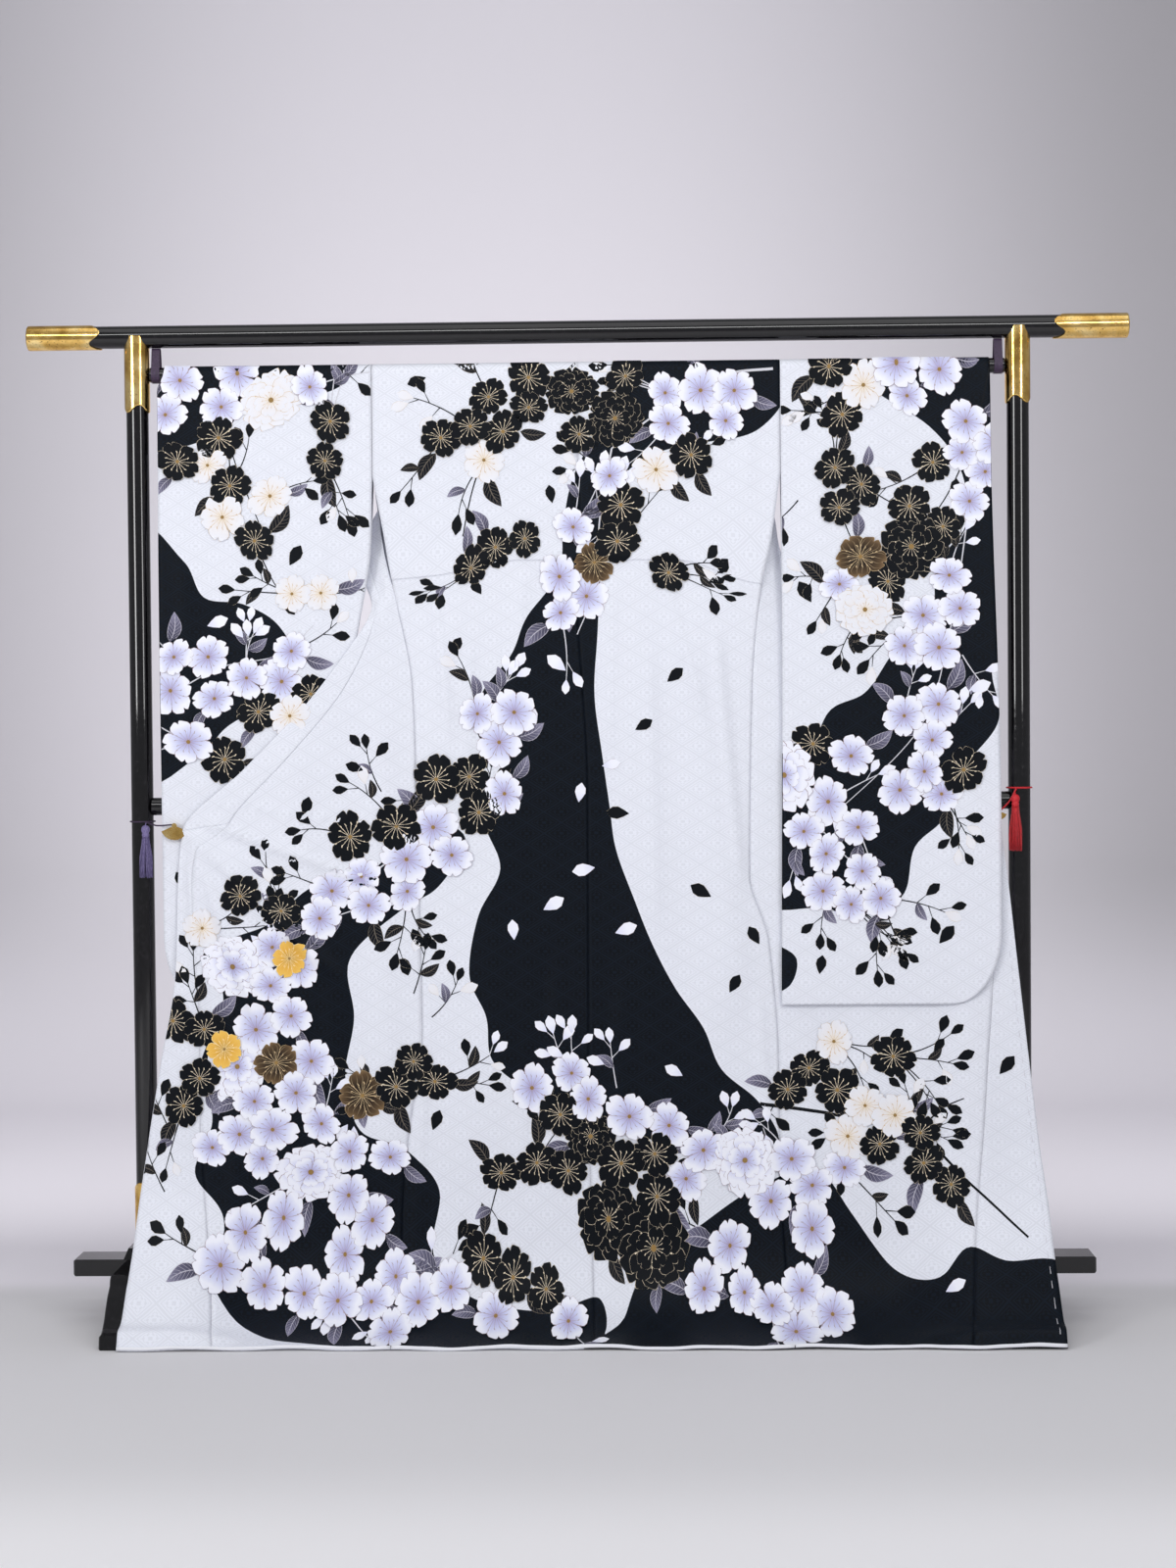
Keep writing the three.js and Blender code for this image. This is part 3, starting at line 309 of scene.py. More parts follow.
@dataclass(frozen=True)
class SpreadFront:
    """A front hung behind the rod, turned over in the slit and spread outwards, by rows.

    A row at height h runs from the side edge (X, Y) to the free edge (FREE_X, FREE_Y, FREE_H); BAG is
    its slack to the far side where it is drawn together. The seam is the share of the row where the
    front ends and its okumi or collar begins.
    """

    side: int
    rows: tuple[tuple[float, ...], ...]
    seam: Curve
    edge: Curve
    fullness: Curve

    def column(self, index: Row, h: Array) -> Array:
        """One column of the rows at the heights h."""
        return Curve(tuple((row[Row.H], row[index]) for row in self.rows))(h)

    def beside(self, h: Array) -> Array:
        """The near end of the row at h: its own edge above, the back's side edge below the slit."""
        return mix(self.column(Row.X, h), self.edge(h), ease((1300 - h) / 90))

    def at(self, s: Array, h: Array) -> Array:
        """Point of the row at h, a share s of the way to the free edge."""
        y, free_x, free_y, free_h, bag = (
            self.column(k, h) for k in (Row.Y, Row.FREE_X, Row.FREE_Y, Row.FREE_H, Row.BAG))
        across = mix(self.beside(h), free_x, s) + self.side * self.fullness(h) * np.sin(math.pi * s) ** 4
        height = mix(h, free_h, s)
        spread = np.clip((1210 - h) / 200, 0, 1)
        gather = 1 - np.clip(np.abs(h - 1330) / 150, 0, 1)
        depth = mix(y, free_y, 1 - (1 - s) ** 2.4) + bag * np.sin(math.pi * s) ** 2
        depth = depth + spread * body_relief(across, height)
        depth = depth + 1.6 * gather * np.sin(s * 19 + 2 * np.sin(h / 60)) * np.sin(math.pi * s)
        angle = rod_angle(h)
        over = np.stack([across, FOLD_R * np.sin(angle), ROD_Z + FOLD_R * np.cos(angle)], axis=-1)
        flat = np.stack([across, depth, height], axis=-1)
        point = np.where((height < SWEEP_H)[..., None], near_point(across, height, depth), flat)
        return np.where((h >= ROD_Z)[..., None], over, point)

    def inverse(self, x: Array, height: Array) -> tuple[Array, Array]:
        """The (s, h) of a chart place on the spread part, by stepping h towards its row."""
        h = np.array(height, float)
        s = np.zeros_like(h)
        for _ in range(14):
            beside = self.beside(h)
            s = np.clip((x - beside) / (self.column(Row.FREE_X, h) - beside), 0, 1)
            h = mix(h, np.clip(height + s * (h - self.column(Row.FREE_H, h)), 0, 1210), 0.8)
        return s, h


LEFT_FRONT = SpreadFront(-1, (
    (1603, -341, 14, -90, 14, 1603, 0), (1515, -341, 13, -160, 14, 1490, 8),
    (1426, -341, 11, -232, 11, 1372, 20), (1372, -335, 3, -292, 2, 1276, 26),
    (1300, -323, -10, -338, -16, 1204, 12), (1210, -303, -21, -380, -31, 1143, 0),
    (1120, -285, -22, -450, -31.5, 1053, 0), (1010, -276, -22, -560, -32, 940, 0),
    (895, -272, -22, -664, -32, 838, 0), (780, -270, -22, -673, -32, 760, 0),
    (600, -267, -22, -679, -32, 598, 0), (440, -272, -22, -707, -32, 440, 0),
    (300, -290, -22, -731, -32, 300, 0), (177, -302, -22, -746, -32, 177, 0),
    (0, -306, -22, -752, -32, 0, 0),
), Curve((
    (1617, 0.7), (1515, 0.6), (1426, 0.48), (1348, 0.36), (1300, 0.36), (1210, 0.52), (1120, 0.63),
    (1010, 0.74), (895, 0.8), (838, 0.93), (780, 0.94), (600, 0.91), (440, 0.845), (300, 0.79),
    (177, 0.73), (0, 0.65),
)), SIDE_LEFT, FULLNESS_LEFT)
RIGHT_FRONT = SpreadFront(1, (
    (1603, 341, 14, 90, 14, 1603, 0), (1520, 341, 13.5, 172, 14, 1508, 8),
    (1440, 341, 12, 250, 17, 1405, 14), (1376, 334, 6, 306, 18, 1338, 8),
    (1312, 324, -4, 356, 9, 1276, 2), (1230, 307, -19, 430, -2, 1185, 0),
    (1120, 296, -22, 545, -13, 1044, 0), (1010, 291, -22, 636, -19.5, 930, 0),
    (895, 288, -22, 698, -20.6, 860, 0), (780, 286, -22, 712, -20.6, 775, 0),
    (600, 322, -22, 732, -20.6, 600, 0), (440, 332, -22, 750, -21.5, 440, 0),
    (300, 333, -22, 766, -24, 300, 0), (177, 338, -22, 779, -26, 177, 0),
    (0, 346, -22, 783, -26, 0, 0),
), Curve((
    (1617, 0.7), (1520, 0.6), (1440, 0.48), (1376, 0.36), (1312, 0.4), (1230, 0.55), (1120, 0.67),
    (1010, 0.75), (895, 0.8), (838, 0.93), (780, 0.94), (600, 0.9), (440, 0.835), (300, 0.78),
    (177, 0.72), (0, 0.65),
)), SIDE_RIGHT, FULLNESS_RIGHT)


@dataclass(frozen=True)
class SleeveForm:
    """One length of cloth folded over the rod, sewn at the outer edge below the mouth and at the foot."""

    side: int
    inner: Curve
    outer: Curve
    near: Curve
    far: Curve
    folds: tuple[Fold, ...]
    bottom: float = SLEEVE_LOW
    mouth: float = 1370.0
    corner: Pair = (84.0, 120.0)

    def rim(self, h: Array) -> Array:
        """Distance of the outer edge from the middle, cut round the lower corner along an ellipse."""
        wide, high = self.corner
        round_ = np.clip((self.bottom + high - h) / high, 0, 1)
        return self.outer(h) - wide * (1 - np.sqrt(1 - round_**2 * 0.998))

    def at(self, u: Array, run: Array) -> Array:
        """Point a share u out from the body, `run` past the shoulder line (near side negative)."""
        h = SHOULDER_H - np.abs(run)
        x = mix(self.inner(h), self.rim(h), u)
        return self.place(x, h, run > 0)

    def place(self, x: Array, h: Array, is_far: Array | bool) -> Array:
        """Point at distance x from the middle and height h, on the near or the far wall."""
        x, h, is_far = np.broadcast_arrays(x, h, is_far)
        edge = self.rim(h) - x
        sewn_side = ease(1 - (edge - 42) / 42) * ease((self.mouth - h) / 60)
        sewn = np.maximum(sewn_side, ease(1 - (h - self.bottom) / 40))
        near = self.near(h) + ridges(self.folds, x * self.side, h)
        gap = mix(self.far(h) - self.near(h), 1.5, sewn)
        y = np.where(is_far, near + gap, near)
        angle = rod_angle(h) * np.where(is_far, 1, -1)
        over = h > ROD_Z
        return np.stack([
            x * self.side,
            np.where(over, FOLD_R * np.sin(angle), y),
            np.where(over, ROD_Z + FOLD_R * np.cos(angle), h),
        ], axis=-1)


LEFT_SLEEVE = SleeveForm(
    -1,
    Curve(((1426, 341.6), (1307, 345), (1187, 364), (1077, 383), (900, 390), (538, 394))),
    Curve(((1617, 689), (1603, 691), (1575, 702), (538, 699))),
    Curve(((1603, -13.9), (1426, -17), (1300, -22.5), (1150, -26))),
    Curve(((1603, 13.9), (1426, 11), (1290, -10), (1180, -18), (1000, -22))),
    (Fold(-470, 1420, -476, 760, 4, 60, 200), Fold(-600, 1400, -590, 700, -3, 50, 200),
     Fold(-420, 1380, -440, 1120, 1.6, 12, 80), Fold(-520, 1560, -516, 1300, 1.2, 16, 90),
     Fold(-660, 1300, -650, 960, 1.6, 14, 90)),
)
RIGHT_SLEEVE = SleeveForm(
    1,
    Curve(((1426, 341.6), (1300, 342), (538, 337))),
    Curve(((1617, 689), (1603, 690), (1394, 692), (823, 704), (538, 704))),
    Curve(((1603, -13.9), (1426, -17), (1300, -24), (1120, -30.5))),
    Curve(((1603, 13.9), (1426, 11), (1290, -9), (1150, -20), (1000, -26.5))),
    (Fold(430, 1400, 426, 700, 4, 60, 200), Fold(560, 1320, 566, 740, -3.5, 55, 200),
     Fold(660, 1200, 652, 700, 3, 40, 160), Fold(500, 1500, 492, 1160, 1.4, 14, 90),
     Fold(610, 1100, 620, 720, 1.6, 12, 90), Fold(380, 1000, 390, 640, 1.4, 14, 90)),
)


# --------------------------------------------------------------------------- chart layers for print
@dataclass(frozen=True)
class Layer:
    """A visible cloth surface that print lies on: its chart bounds and its rule from chart to space."""

    name: str
    left: Callable[[Array], Array]
    right: Callable[[Array], Array]
    low: float
    high: float
    point: Callable[[Array, Array], Array]

    def clamp(self, x: Array, h: Array) -> tuple[Array, Array]:
        """Chart places moved to the layer's bounds where they pass them."""
        h = np.clip(h, self.low, self.high)
        return np.clip(x, self.left(h) + 0.8, self.right(h) - 0.8), h

    def lifted(self, x: Array, h: Array, lift: Array) -> Array:
        """Points moved out of the cloth by lift along its normal (cross product of two small steps)."""
        p = self.point(x, h)
        across = self.point(x + 1.5, h) - self.point(x - 1.5, h)
        up = self.point(x, h + 1.5) - self.point(x, np.maximum(h - 1.5, 0))
        normal = np.cross(across, up)
        normal /= np.linalg.norm(normal, axis=-1, keepdims=True) + 1e-9
        return p + normal * np.asarray(lift)[..., None]


BODY_LEFT = Curve((
    (0, -752), (177, -746), (300, -731), (440, -707), (598, -679), (760, -673), (838, -664), (940, -560),
    (1053, -450), (1143, -380), (1204, -338), (1285, -316), (1323, -322), (1426, -341), (1617, -341),
))
BODY_RIGHT = Curve((
    (0, 783), (177, 779), (300, 766), (440, 750), (600, 732), (775, 712), (860, 698), (930, 636),
    (1044, 545), (1120, 420), (1185, 312), (1251, 310), (1300, 322), (1426, 341), (1617, 341),
))


def body_point(x: Array, h: Array) -> Array:
    """The body's outer surface: back between the side edges, a spread front beyond each."""
    x, h = np.broadcast_arrays(np.asarray(x, float), np.asarray(h, float))
    point = back_point(x, h)
    for front, beyond in ((LEFT_FRONT, x < SIDE_LEFT(h)), (RIGHT_FRONT, x > SIDE_RIGHT(h))):
        spread = beyond & (h < SPREAD_H)
        if np.any(spread):
            s, row = front.inverse(x[spread], h[spread])
            point[spread] = front.at(s, row)
    return point


BODY = Layer("body", BODY_LEFT, BODY_RIGHT, 4, 1612, body_point)
SLEEVE_LEFT_LAYER = Layer(
    "sleeve_left",
    lambda h: -LEFT_SLEEVE.rim(h), lambda h: -LEFT_SLEEVE.inner(h), 540, 1612,
    lambda x, h: LEFT_SLEEVE.place(-x, h, False),
)
SLEEVE_RIGHT_LAYER = Layer(
    "sleeve_right", RIGHT_SLEEVE.inner, RIGHT_SLEEVE.rim, 540, 1612,
    lambda x, h: RIGHT_SLEEVE.place(x, h, False),
)


# --------------------------------------------------------------------------- meshes
def make_mesh(name: str, points: Array, quads: Array) -> Piece:
    """A smooth mesh object at the origin from points in millimetres about the stand's plane.

    Args:
        name: the piece's name. points: (n, 3). quads: (m, 4) corner numbers.

    Returns:
        The linked object.
    """
    mesh = bpy.data.meshes.new(name)
    placed = (points + np.array([0, PLANE_Y, 0])) * MM
    mesh.from_pydata(placed.tolist(), [], quads.tolist())
    mesh.polygons.foreach_set("use_smooth", np.full(len(quads), True))
    mesh.update()
    obj = bpy.data.objects.new(name, mesh)
    bpy.context.scene.collection.objects.link(obj)
    return obj


def grid_quads(rows: int, cols: int, wrap: bool = False) -> Array:
    """Corner numbers of a rows x cols grid's cells, row by row; wrap joins the last column to the first."""
    j, i = np.meshgrid(np.arange(rows - 1), np.arange(cols if wrap else cols - 1), indexing="ij")
    k = (i + 1) % cols
    return np.stack([j * cols + i, j * cols + k, (j + 1) * cols + k, (j + 1) * cols + i], -1).reshape(-1, 4)


def make_joined(name: str, points: Sequence[Array], quads: Sequence[Array]) -> Piece:
    """One mesh of several parts, each with quads that count its own points from 0."""
    starts = np.cumsum([0, *map(len, points[:-1])])
    return make_mesh(name, np.vstack(points), np.vstack([part + start for part, start in zip(quads, starts)]))


def set_uv(obj: Piece, uv: Array, name: str) -> None:
    """Gives each corner its vertex's uv."""
    layer = obj.data.uv_layers.new(name=name)
    corners = np.empty(len(obj.data.loops), int)
    obj.data.loops.foreach_get("vertex_index", corners)
    layer.data.foreach_set("uv", uv[corners].astype(np.float32).ravel())


def set_float(obj: Piece, name: str, values: Array) -> None:
    """A float per vertex."""
    attribute = obj.data.attributes.new(name, "FLOAT", "POINT")
    attribute.data.foreach_set("value", values.astype(np.float32).ravel())


def dress(obj: Piece, slot: str, *materials: bpy.types.Material) -> None:
    """Puts materials on a piece and lets it ride on the one body."""
    for material in materials:
        obj.data.materials.append(material)
    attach(obj, "root")


def refinish(obj: Piece, material: bpy.types.Material) -> None:
    """Gives a solid that keeps its mesh a material of its own."""
    obj.data.materials.clear()
    obj.data.materials.append(material)


def solidify(obj: Piece, thickness: float) -> None:
    """A wall of that thickness in millimetres, half each way, its inner face in the next material."""
    wall = obj.modifiers.new("wall", "SOLIDIFY")
    wall.thickness = thickness * MM
    wall.offset = 0
    wall.use_even_offset = False
    wall.material_offset = 1
    wall.material_offset_rim = 0


def closed_ends(obj: Piece) -> None:
    """Merges doubled points, fills open rings and turns every face outwards."""
    work = bmesh.new()
    work.from_mesh(obj.data)
    bmesh.ops.remove_doubles(work, verts=work.verts, dist=1e-6)
    bmesh.ops.holes_fill(work, edges=work.edges, sides=200)
    bmesh.ops.recalc_face_normals(work, faces=work.faces)
    work.to_mesh(obj.data)
    work.free()


# --------------------------------------------------------------------------- dyed grounds
@dataclass(frozen=True)
class Pool:
    """A blue-black dyed area of the chart, outlined by a closed smooth curve through its points."""

    points: tuple[Pair, ...]

    def outline(self, per_span: int = 7) -> Array:
        """Closed outline, with a cubic between each pair of neighbouring points."""
        p = np.array(self.points, float)
        t = (np.arange(per_span) / per_span)[None, :, None]
        return catmull_rom(*(np.roll(p, k, axis=0)[:, None] for k in (1, 0, -1, -2)), t).reshape(-1, 2)

    def inside_by(self, x: Array, h: Array) -> Array:
        """Signed distance to the outline, positive inside.

        The distance is the least over the outline's segments, its sign from the crossings of a ray.
        """
        q = np.stack([np.ravel(x), np.ravel(h)], -1)
        start = self.outline()
        step = np.roll(start, -1, axis=0) - start
        best = np.full(len(q), np.inf)
        crossings = np.zeros(len(q), int)
        for a, d in zip(start, step):
            away = q - a
            t = np.clip(away @ d / (d @ d), 0, 1)
            best = np.minimum(best, np.sum((away - t[:, None] * d) ** 2, axis=1))
            spans = (a[1] > q[:, 1]) != (a[1] + d[1] > q[:, 1])
            if np.any(spans):
                crossings += spans & (q[:, 0] < a[0] + (q[:, 1] - a[1]) * d[0] / (d[1] or 1e-9))
        return np.where(crossings % 2, 1, -1).reshape(np.shape(x)) * np.sqrt(best).reshape(np.shape(x))


BODY_POOLS = (
    # from the right shoulder down the middle of the back, widening to the lower right
    Pool((
        (96, 1640), (330, 1640), (352, 1560), (300, 1496), (214, 1478), (138, 1462), (84, 1418), (52, 1350),
        (40, 1262), (34, 1160), (28, 1060), (40, 960), (52, 872), (62, 800), (92, 716), (122, 640),
        (160, 566), (206, 500), (236, 430), (300, 372), (330, 300), (250, 262), (160, 300), (60, 330),
        (-30, 372), (-100, 404), (-150, 450), (-158, 520), (-186, 590), (-170, 690), (-132, 770),
        (-160, 856), (-128, 930), (-170, 1000), (-160, 1064), (-110, 1128), (-84, 1190), (-30, 1262),
        (-22, 1340), (-6, 1420), (36, 1500), (70, 1560),
    )),
    # the corner pool at the lower right hem
    Pool((
        (60, -20), (72, 70), (110, 140), (190, 180), (300, 236), (390, 262), (450, 200), (520, 132),
        (590, 112), (640, 148), (700, 128), (800, 118), (830, -20),
    )),
    # behind the lower left cluster
    Pool((
        (-604, 640), (-520, 680), (-450, 740), (-360, 760), (-300, 812), (-250, 850), (-190, 820),
        (-236, 740), (-300, 700), (-386, 620), (-380, 520), (-396, 420), (-372, 330), (-300, 300),
        (-240, 232), (-250, 150), (-180, 96), (-60, 78), (30, 96), (20, 20), (-160, 8), (-380, 10),
        (-520, 34), (-610, 100), (-600, 190), (-650, 260), (-620, 350), (-640, 440), (-600, 540),
    )),
)
SLEEVE_LEFT_POOLS = (
    Pool(((-740, 1640), (-400, 1640), (-380, 1590), (-450, 1560), (-540, 1560), (-600, 1500), (-740, 1480))),
    Pool((
        (-740, 1330), (-660, 1290), (-626, 1228), (-560, 1216), (-500, 1180), (-470, 1110), (-520, 1052),
        (-590, 1010), (-640, 960), (-740, 940),
    )),
)
SLEEVE_RIGHT_POOLS = (
    Pool((
        (400, 1640), (740, 1640), (740, 1160), (690, 1100), (700, 1010), (640, 930), (610, 850), (560, 800),
        (540, 720), (470, 690), (400, 700), (300, 720), (300, 940), (380, 960), (420, 1030), (480, 1060),
        (530, 1130), (590, 1180), (600, 1270), (650, 1340), (640, 1430), (590, 1500), (500, 1560),
    )),
    Pool(((300, 640), (360, 620), (350, 570), (300, 560))),
)


def inked(pools: Sequence[Pool], x: Array, h: Array) -> Array:
    """Signed distance into the nearest pool, positive on the dyed ground."""
    return np.max([pool.inside_by(x, h) for pool in pools], axis=0)


# --------------------------------------------------------------------------- finishes
class Tree:
    """Short words for building a material's nodes."""

    def __init__(self, name: str) -> None:
        """A new material with an empty Principled shader."""
        self.material = bpy.data.materials.new(name)
        self.material.use_nodes = True
        self.nodes = self.material.node_tree.nodes
        self.links = self.material.node_tree.links
        self.shader = self.nodes["Principled BSDF"]

    def node(self, kind: str, inputs: dict[str | int, object] | None = None,
             **options: object) -> bpy.types.Node:
        """A node with options set, and each input linked to a socket or set to a value."""
        made = self.nodes.new(kind)
        for key, option in options.items():
            setattr(made, key, option)
        for key, given in (inputs or {}).items():
            self.give(made.inputs[key], given)
        return made

    def give(self, socket: Socket, given: object) -> None:
        """Links a socket to another, or sets its value."""
        if isinstance(given, Socket):
            self.links.new(given, socket)
        else:
            socket.default_value = given

    def math(self, operation: str, a: object, b: object = 0.0, c: object = 0.0) -> Socket:
        """One arithmetic step."""
        return self.node("ShaderNodeMath", {0: a, 1: b, 2: c}, operation=operation).outputs[0]

    def times(self, a: object, b: object, plus: object = 0.0) -> Socket:
        """a times b, plus a third value."""
        return self.math("MULTIPLY_ADD", a, b, plus)

    def most(self, a: object, b: object, *others: object) -> Socket:
        """The greatest of two or more values."""
        greatest = self.math("MAXIMUM", a, b)
        return self.most(greatest, *others) if others else greatest

    def step(self, value: object, low: float, high: float) -> Socket:
        """0 at low, 1 at high (which may be the smaller), smooth between."""
        flip = low > high
        made = self.node("ShaderNodeMapRange", {"Value": value, "From Min": min(low, high),
                                                "From Max": max(low, high), "To Min": float(flip),
                                                "To Max": float(not flip)}, interpolation_type="SMOOTHSTEP")
        return made.outputs["Result"]

    def mix(self, factor: object, a: object, b: object) -> Socket:
        """Colour a where the factor is 0 and b where it is 1."""
        made = self.node("ShaderNodeMix", data_type="RGBA")
        self.give(made.inputs[0], factor)
        for index, colour in ((6, a), (7, b)):
            self.give(made.inputs[index], (*colour, 1.0) if isinstance(colour, tuple) else colour)
        return made.outputs[2]

    def ramp(self, factor: object, stops: Stops) -> Socket:
        """A colour ramp through (place, colour) stops."""
        made = self.node("ShaderNodeValToRGB", {0: factor})
        band = made.color_ramp
        while len(band.elements) < len(stops):
            band.elements.new(0.5)
        for element, (place, colour) in zip(band.elements, stops):
            element.position = place
            element.color = (*colour, 1.0)
        return made.outputs[0]

    def uv(self, name: str) -> tuple[Socket, Socket]:
        """The two coordinates of a uv map."""
        source = self.node("ShaderNodeUVMap", uv_map=name)
        parts = self.node("ShaderNodeSeparateXYZ", {0: source.outputs[0]})
        return parts.outputs[0], parts.outputs[1]

    def noise(self, scale: float, detail: float = 2.0, vector: Socket | None = None) -> Socket:
        """Noise on the piece's own coordinates, or on the vector given."""
        if vector is None:
            vector = self.node("ShaderNodeTexCoord").outputs["Object"]
        return self.node("ShaderNodeTexNoise", {"Vector": vector, "Scale": scale, "Detail": detail}).outputs[0]

    def bump(self, height: object, strength: float, distance: float) -> None:
        """Feeds a bump into the shader's normal."""
        made = self.node("ShaderNodeBump", {"Height": height, "Strength": strength, "Distance": distance})
        self.give(self.shader.inputs["Normal"], made.outputs[0])

    def set(self, **inputs: object) -> "Tree":
        """Sets or links the shader's sockets by name, with underscores for spaces."""
        for key, given in inputs.items():
            self.give(self.shader.inputs[key.replace("_", " ")], given)
        return self


class Face(Enum):
    """The two faces of an unlined silk."""

    OUTER = "outer"
    REVERSE = "reverse"


@dataclass(frozen=True)
class FiguredSilk:
    """White silk with a woven figure, dyed blue-black inside the pools.

    The figure is a lattice of diamonds in double lines, each with a fret of little blocks and a lozenge
    in its middle, seen as a duller weave than the ground.
    """

    white: Triple = (0.79, 0.81, 0.885)
    black: Triple = (0.0020, 0.0036, 0.0066)
    repeat: float = 0.036
    slope: float = 0.62
    duller: float = 0.89
    struck_through: float = 0.72

    def material(self, face: Face) -> bpy.types.Material:
        """The cloth's material for one of its faces."""
        tree = Tree(f"figured_silk_{face.value}")
        x, h = tree.uv("chart")
        figure = self.figure(tree, x, h)
        ink = tree.node("ShaderNodeAttribute", attribute_name="ink").outputs["Fac"]
        dyed = tree.step(ink, -0.35, 0.35)
        if face is Face.REVERSE:
            dyed = tree.times(dyed, self.struck_through)
        figured = tree.times(figure, 0.8, tree.times(tree.noise(5.0, 3.0), 0.2))
        light = tree.mix(figured, self.white, tuple(self.duller * c for c in self.white))
        dark = tree.mix(figure, self.black, tuple(2.3 * c for c in self.black))
        tree.set(Base_Color=tree.mix(dyed, light, dark), Roughness=tree.times(figure, 0.16, 0.48),
                 Sheen_Weight=0.02, Sheen_Roughness=0.4, Specular_IOR_Level=0.11)
        threads = tree.math("SINE", tree.times(tree.math("ADD", x, h), 5200.0))
        tree.bump(tree.times(threads, 0.15, tree.times(figure, 0.8)), 0.28, 0.00025)
        return tree.material

    def figure(self, tree: Tree, x: Socket, h: Socket) -> Socket:
        """1 on the woven figure and 0 on the ground.

        With a and b the two slanting coordinates folded to 0..0.5, the double line lies where the lesser
        is small, a fret of little blocks inside it, and a small lozenge where both are near 0.5.
        """
        slants = [tree.times(tree.times(x, slope, h), 1 / self.repeat) for slope in (self.slope, -self.slope)]
        a, b = (tree.math("PINGPONG", slant, 0.5) for slant in slants)
        near = tree.math("MINIMUM", a, b)
        outer = tree.step(near, 0.055, 0.035)
        inner = tree.times(tree.step(near, 0.095, 0.115), tree.step(near, 0.165, 0.145))
        blocks = [tree.math("ROUND", tree.math("FRACT", tree.times(slant, 4.0))) for slant in slants]
        band = tree.times(tree.step(near, 0.20, 0.22), tree.step(near, 0.34, 0.32))
        fret = tree.times(tree.math("ABSOLUTE", tree.math("SUBTRACT", *blocks)), band)
        lozenge = tree.step(tree.math("ADD", a, b), 0.86, 0.90)
        return tree.most(outer, inner, fret, lozenge)


INK_SPECULAR = 0.12
INK = (0.0022, 0.0036, 0.0062)
SILK = (0.80, 0.815, 0.88)


@dataclass(frozen=True)
class PetalInk:
    """Hand-dyed petal: a gradient from base to tip, a thin outline, veins and stamens."""

    name: str
    stops: Stops
    line: Triple
    vein: float
    stamens: float
    rim: float
    edge: float
    vein_end: float = 0.78

    def material(self) -> bpy.types.Material:
        """Nodes: u runs across from -1 to 1, v from 0 at the base to 1 at the tip."""
        tree = Tree(self.name)
        u, v = tree.uv("petal")
        rim = tree.most(tree.step(tree.math("ABSOLUTE", u), self.edge, self.edge + 0.012),
                        tree.step(v, 0.98, 0.99))
        fan = tree.math("SINE", tree.times(u, 13.0, tree.math("SINE", tree.times(v, 7.0))))
        veins = tree.times(tree.step(fan, 0.84, 0.97), tree.step(v, self.vein_end, 0.30))
        lines = tree.most(tree.times(rim, self.rim), tree.times(veins, self.vein),
                          tree.times(self.stamen_lines(tree, u, v), self.stamens))
        tree.set(Base_Color=tree.mix(lines, tree.ramp(v, self.stops), self.line), Roughness=0.5,
                 Specular_IOR_Level=INK_SPECULAR)
        return tree.material

    @staticmethod
    def stamen_lines(tree: Tree, u: Socket, v: Socket) -> Socket:
        """1 on thin stalks that fan out from the base, and on the round tip of each."""
        spoke = tree.math("PINGPONG", tree.times(u, 1.6, 0.5), 0.5)
        length = tree.times(tree.math("SINE", tree.times(u, 9.0)), 0.06, 0.46)
        wide = tree.math("DIVIDE", 0.015, tree.most(v, 0.10))
        stalks = tree.times(tree.math("LESS_THAN", spoke, wide), tree.math("LESS_THAN", v, length))
        along = tree.math("DIVIDE", tree.math("SUBTRACT", v, length), 0.036)
        out = tree.math("POWER", tree.math("DIVIDE", spoke, 0.13), 2.0)
        return tree.most(stalks, tree.step(tree.times(along, along, out), 1.2, 0.8))


@dataclass(frozen=True)
class LeafInk:
    """A dyed leaf: a gradient, a midrib and slanting side veins."""

    name: str
    stops: Stops
    line: Triple

    def material(self) -> bpy.types.Material:
        """Nodes: the rim at |u| near 1, the midrib at u = 0, and eight side veins that slant to the tip."""
        tree = Tree(self.name)
        u, v = tree.uv("petal")
        across = tree.math("ABSOLUTE", u)
        side = tree.math("PINGPONG", tree.times(tree.times(across, -0.22, v), 8.0), 0.5)
        lines = tree.most(tree.step(across, 0.075, 0.045), tree.step(across, 0.91, 0.95),
                          tree.step(side, 0.06, 0.025))
        tree.set(Base_Color=tree.mix(lines, tree.ramp(v, self.stops), self.line), Roughness=0.5,
                 Specular_IOR_Level=INK_SPECULAR)
        return tree.material


class Dye(Enum):
    """The ways a motif is dyed; the value is its material's place in a print's list."""

    WHITE = 0
    BLACK = 1
    BRONZE = 2
    GHOST = 3
    FOIL = 4
    LEAF_DARK = 5
    LEAF_GREY = 6
    LINE_BLACK = 7
    LINE_WHITE = 8
    CORE = 9


def flat_ink(name: str, colour: Triple, roughness: float = 0.5) -> bpy.types.Material:
    """A line or dot of one ink, with a trace of uneven take-up."""
    tree = Tree(name)
    uneven = tree.mix(tree.noise(400.0), colour, tuple(0.8 * c for c in colour))
    return tree.set(Base_Color=uneven, Roughness=roughness, Specular_IOR_Level=0.15).material


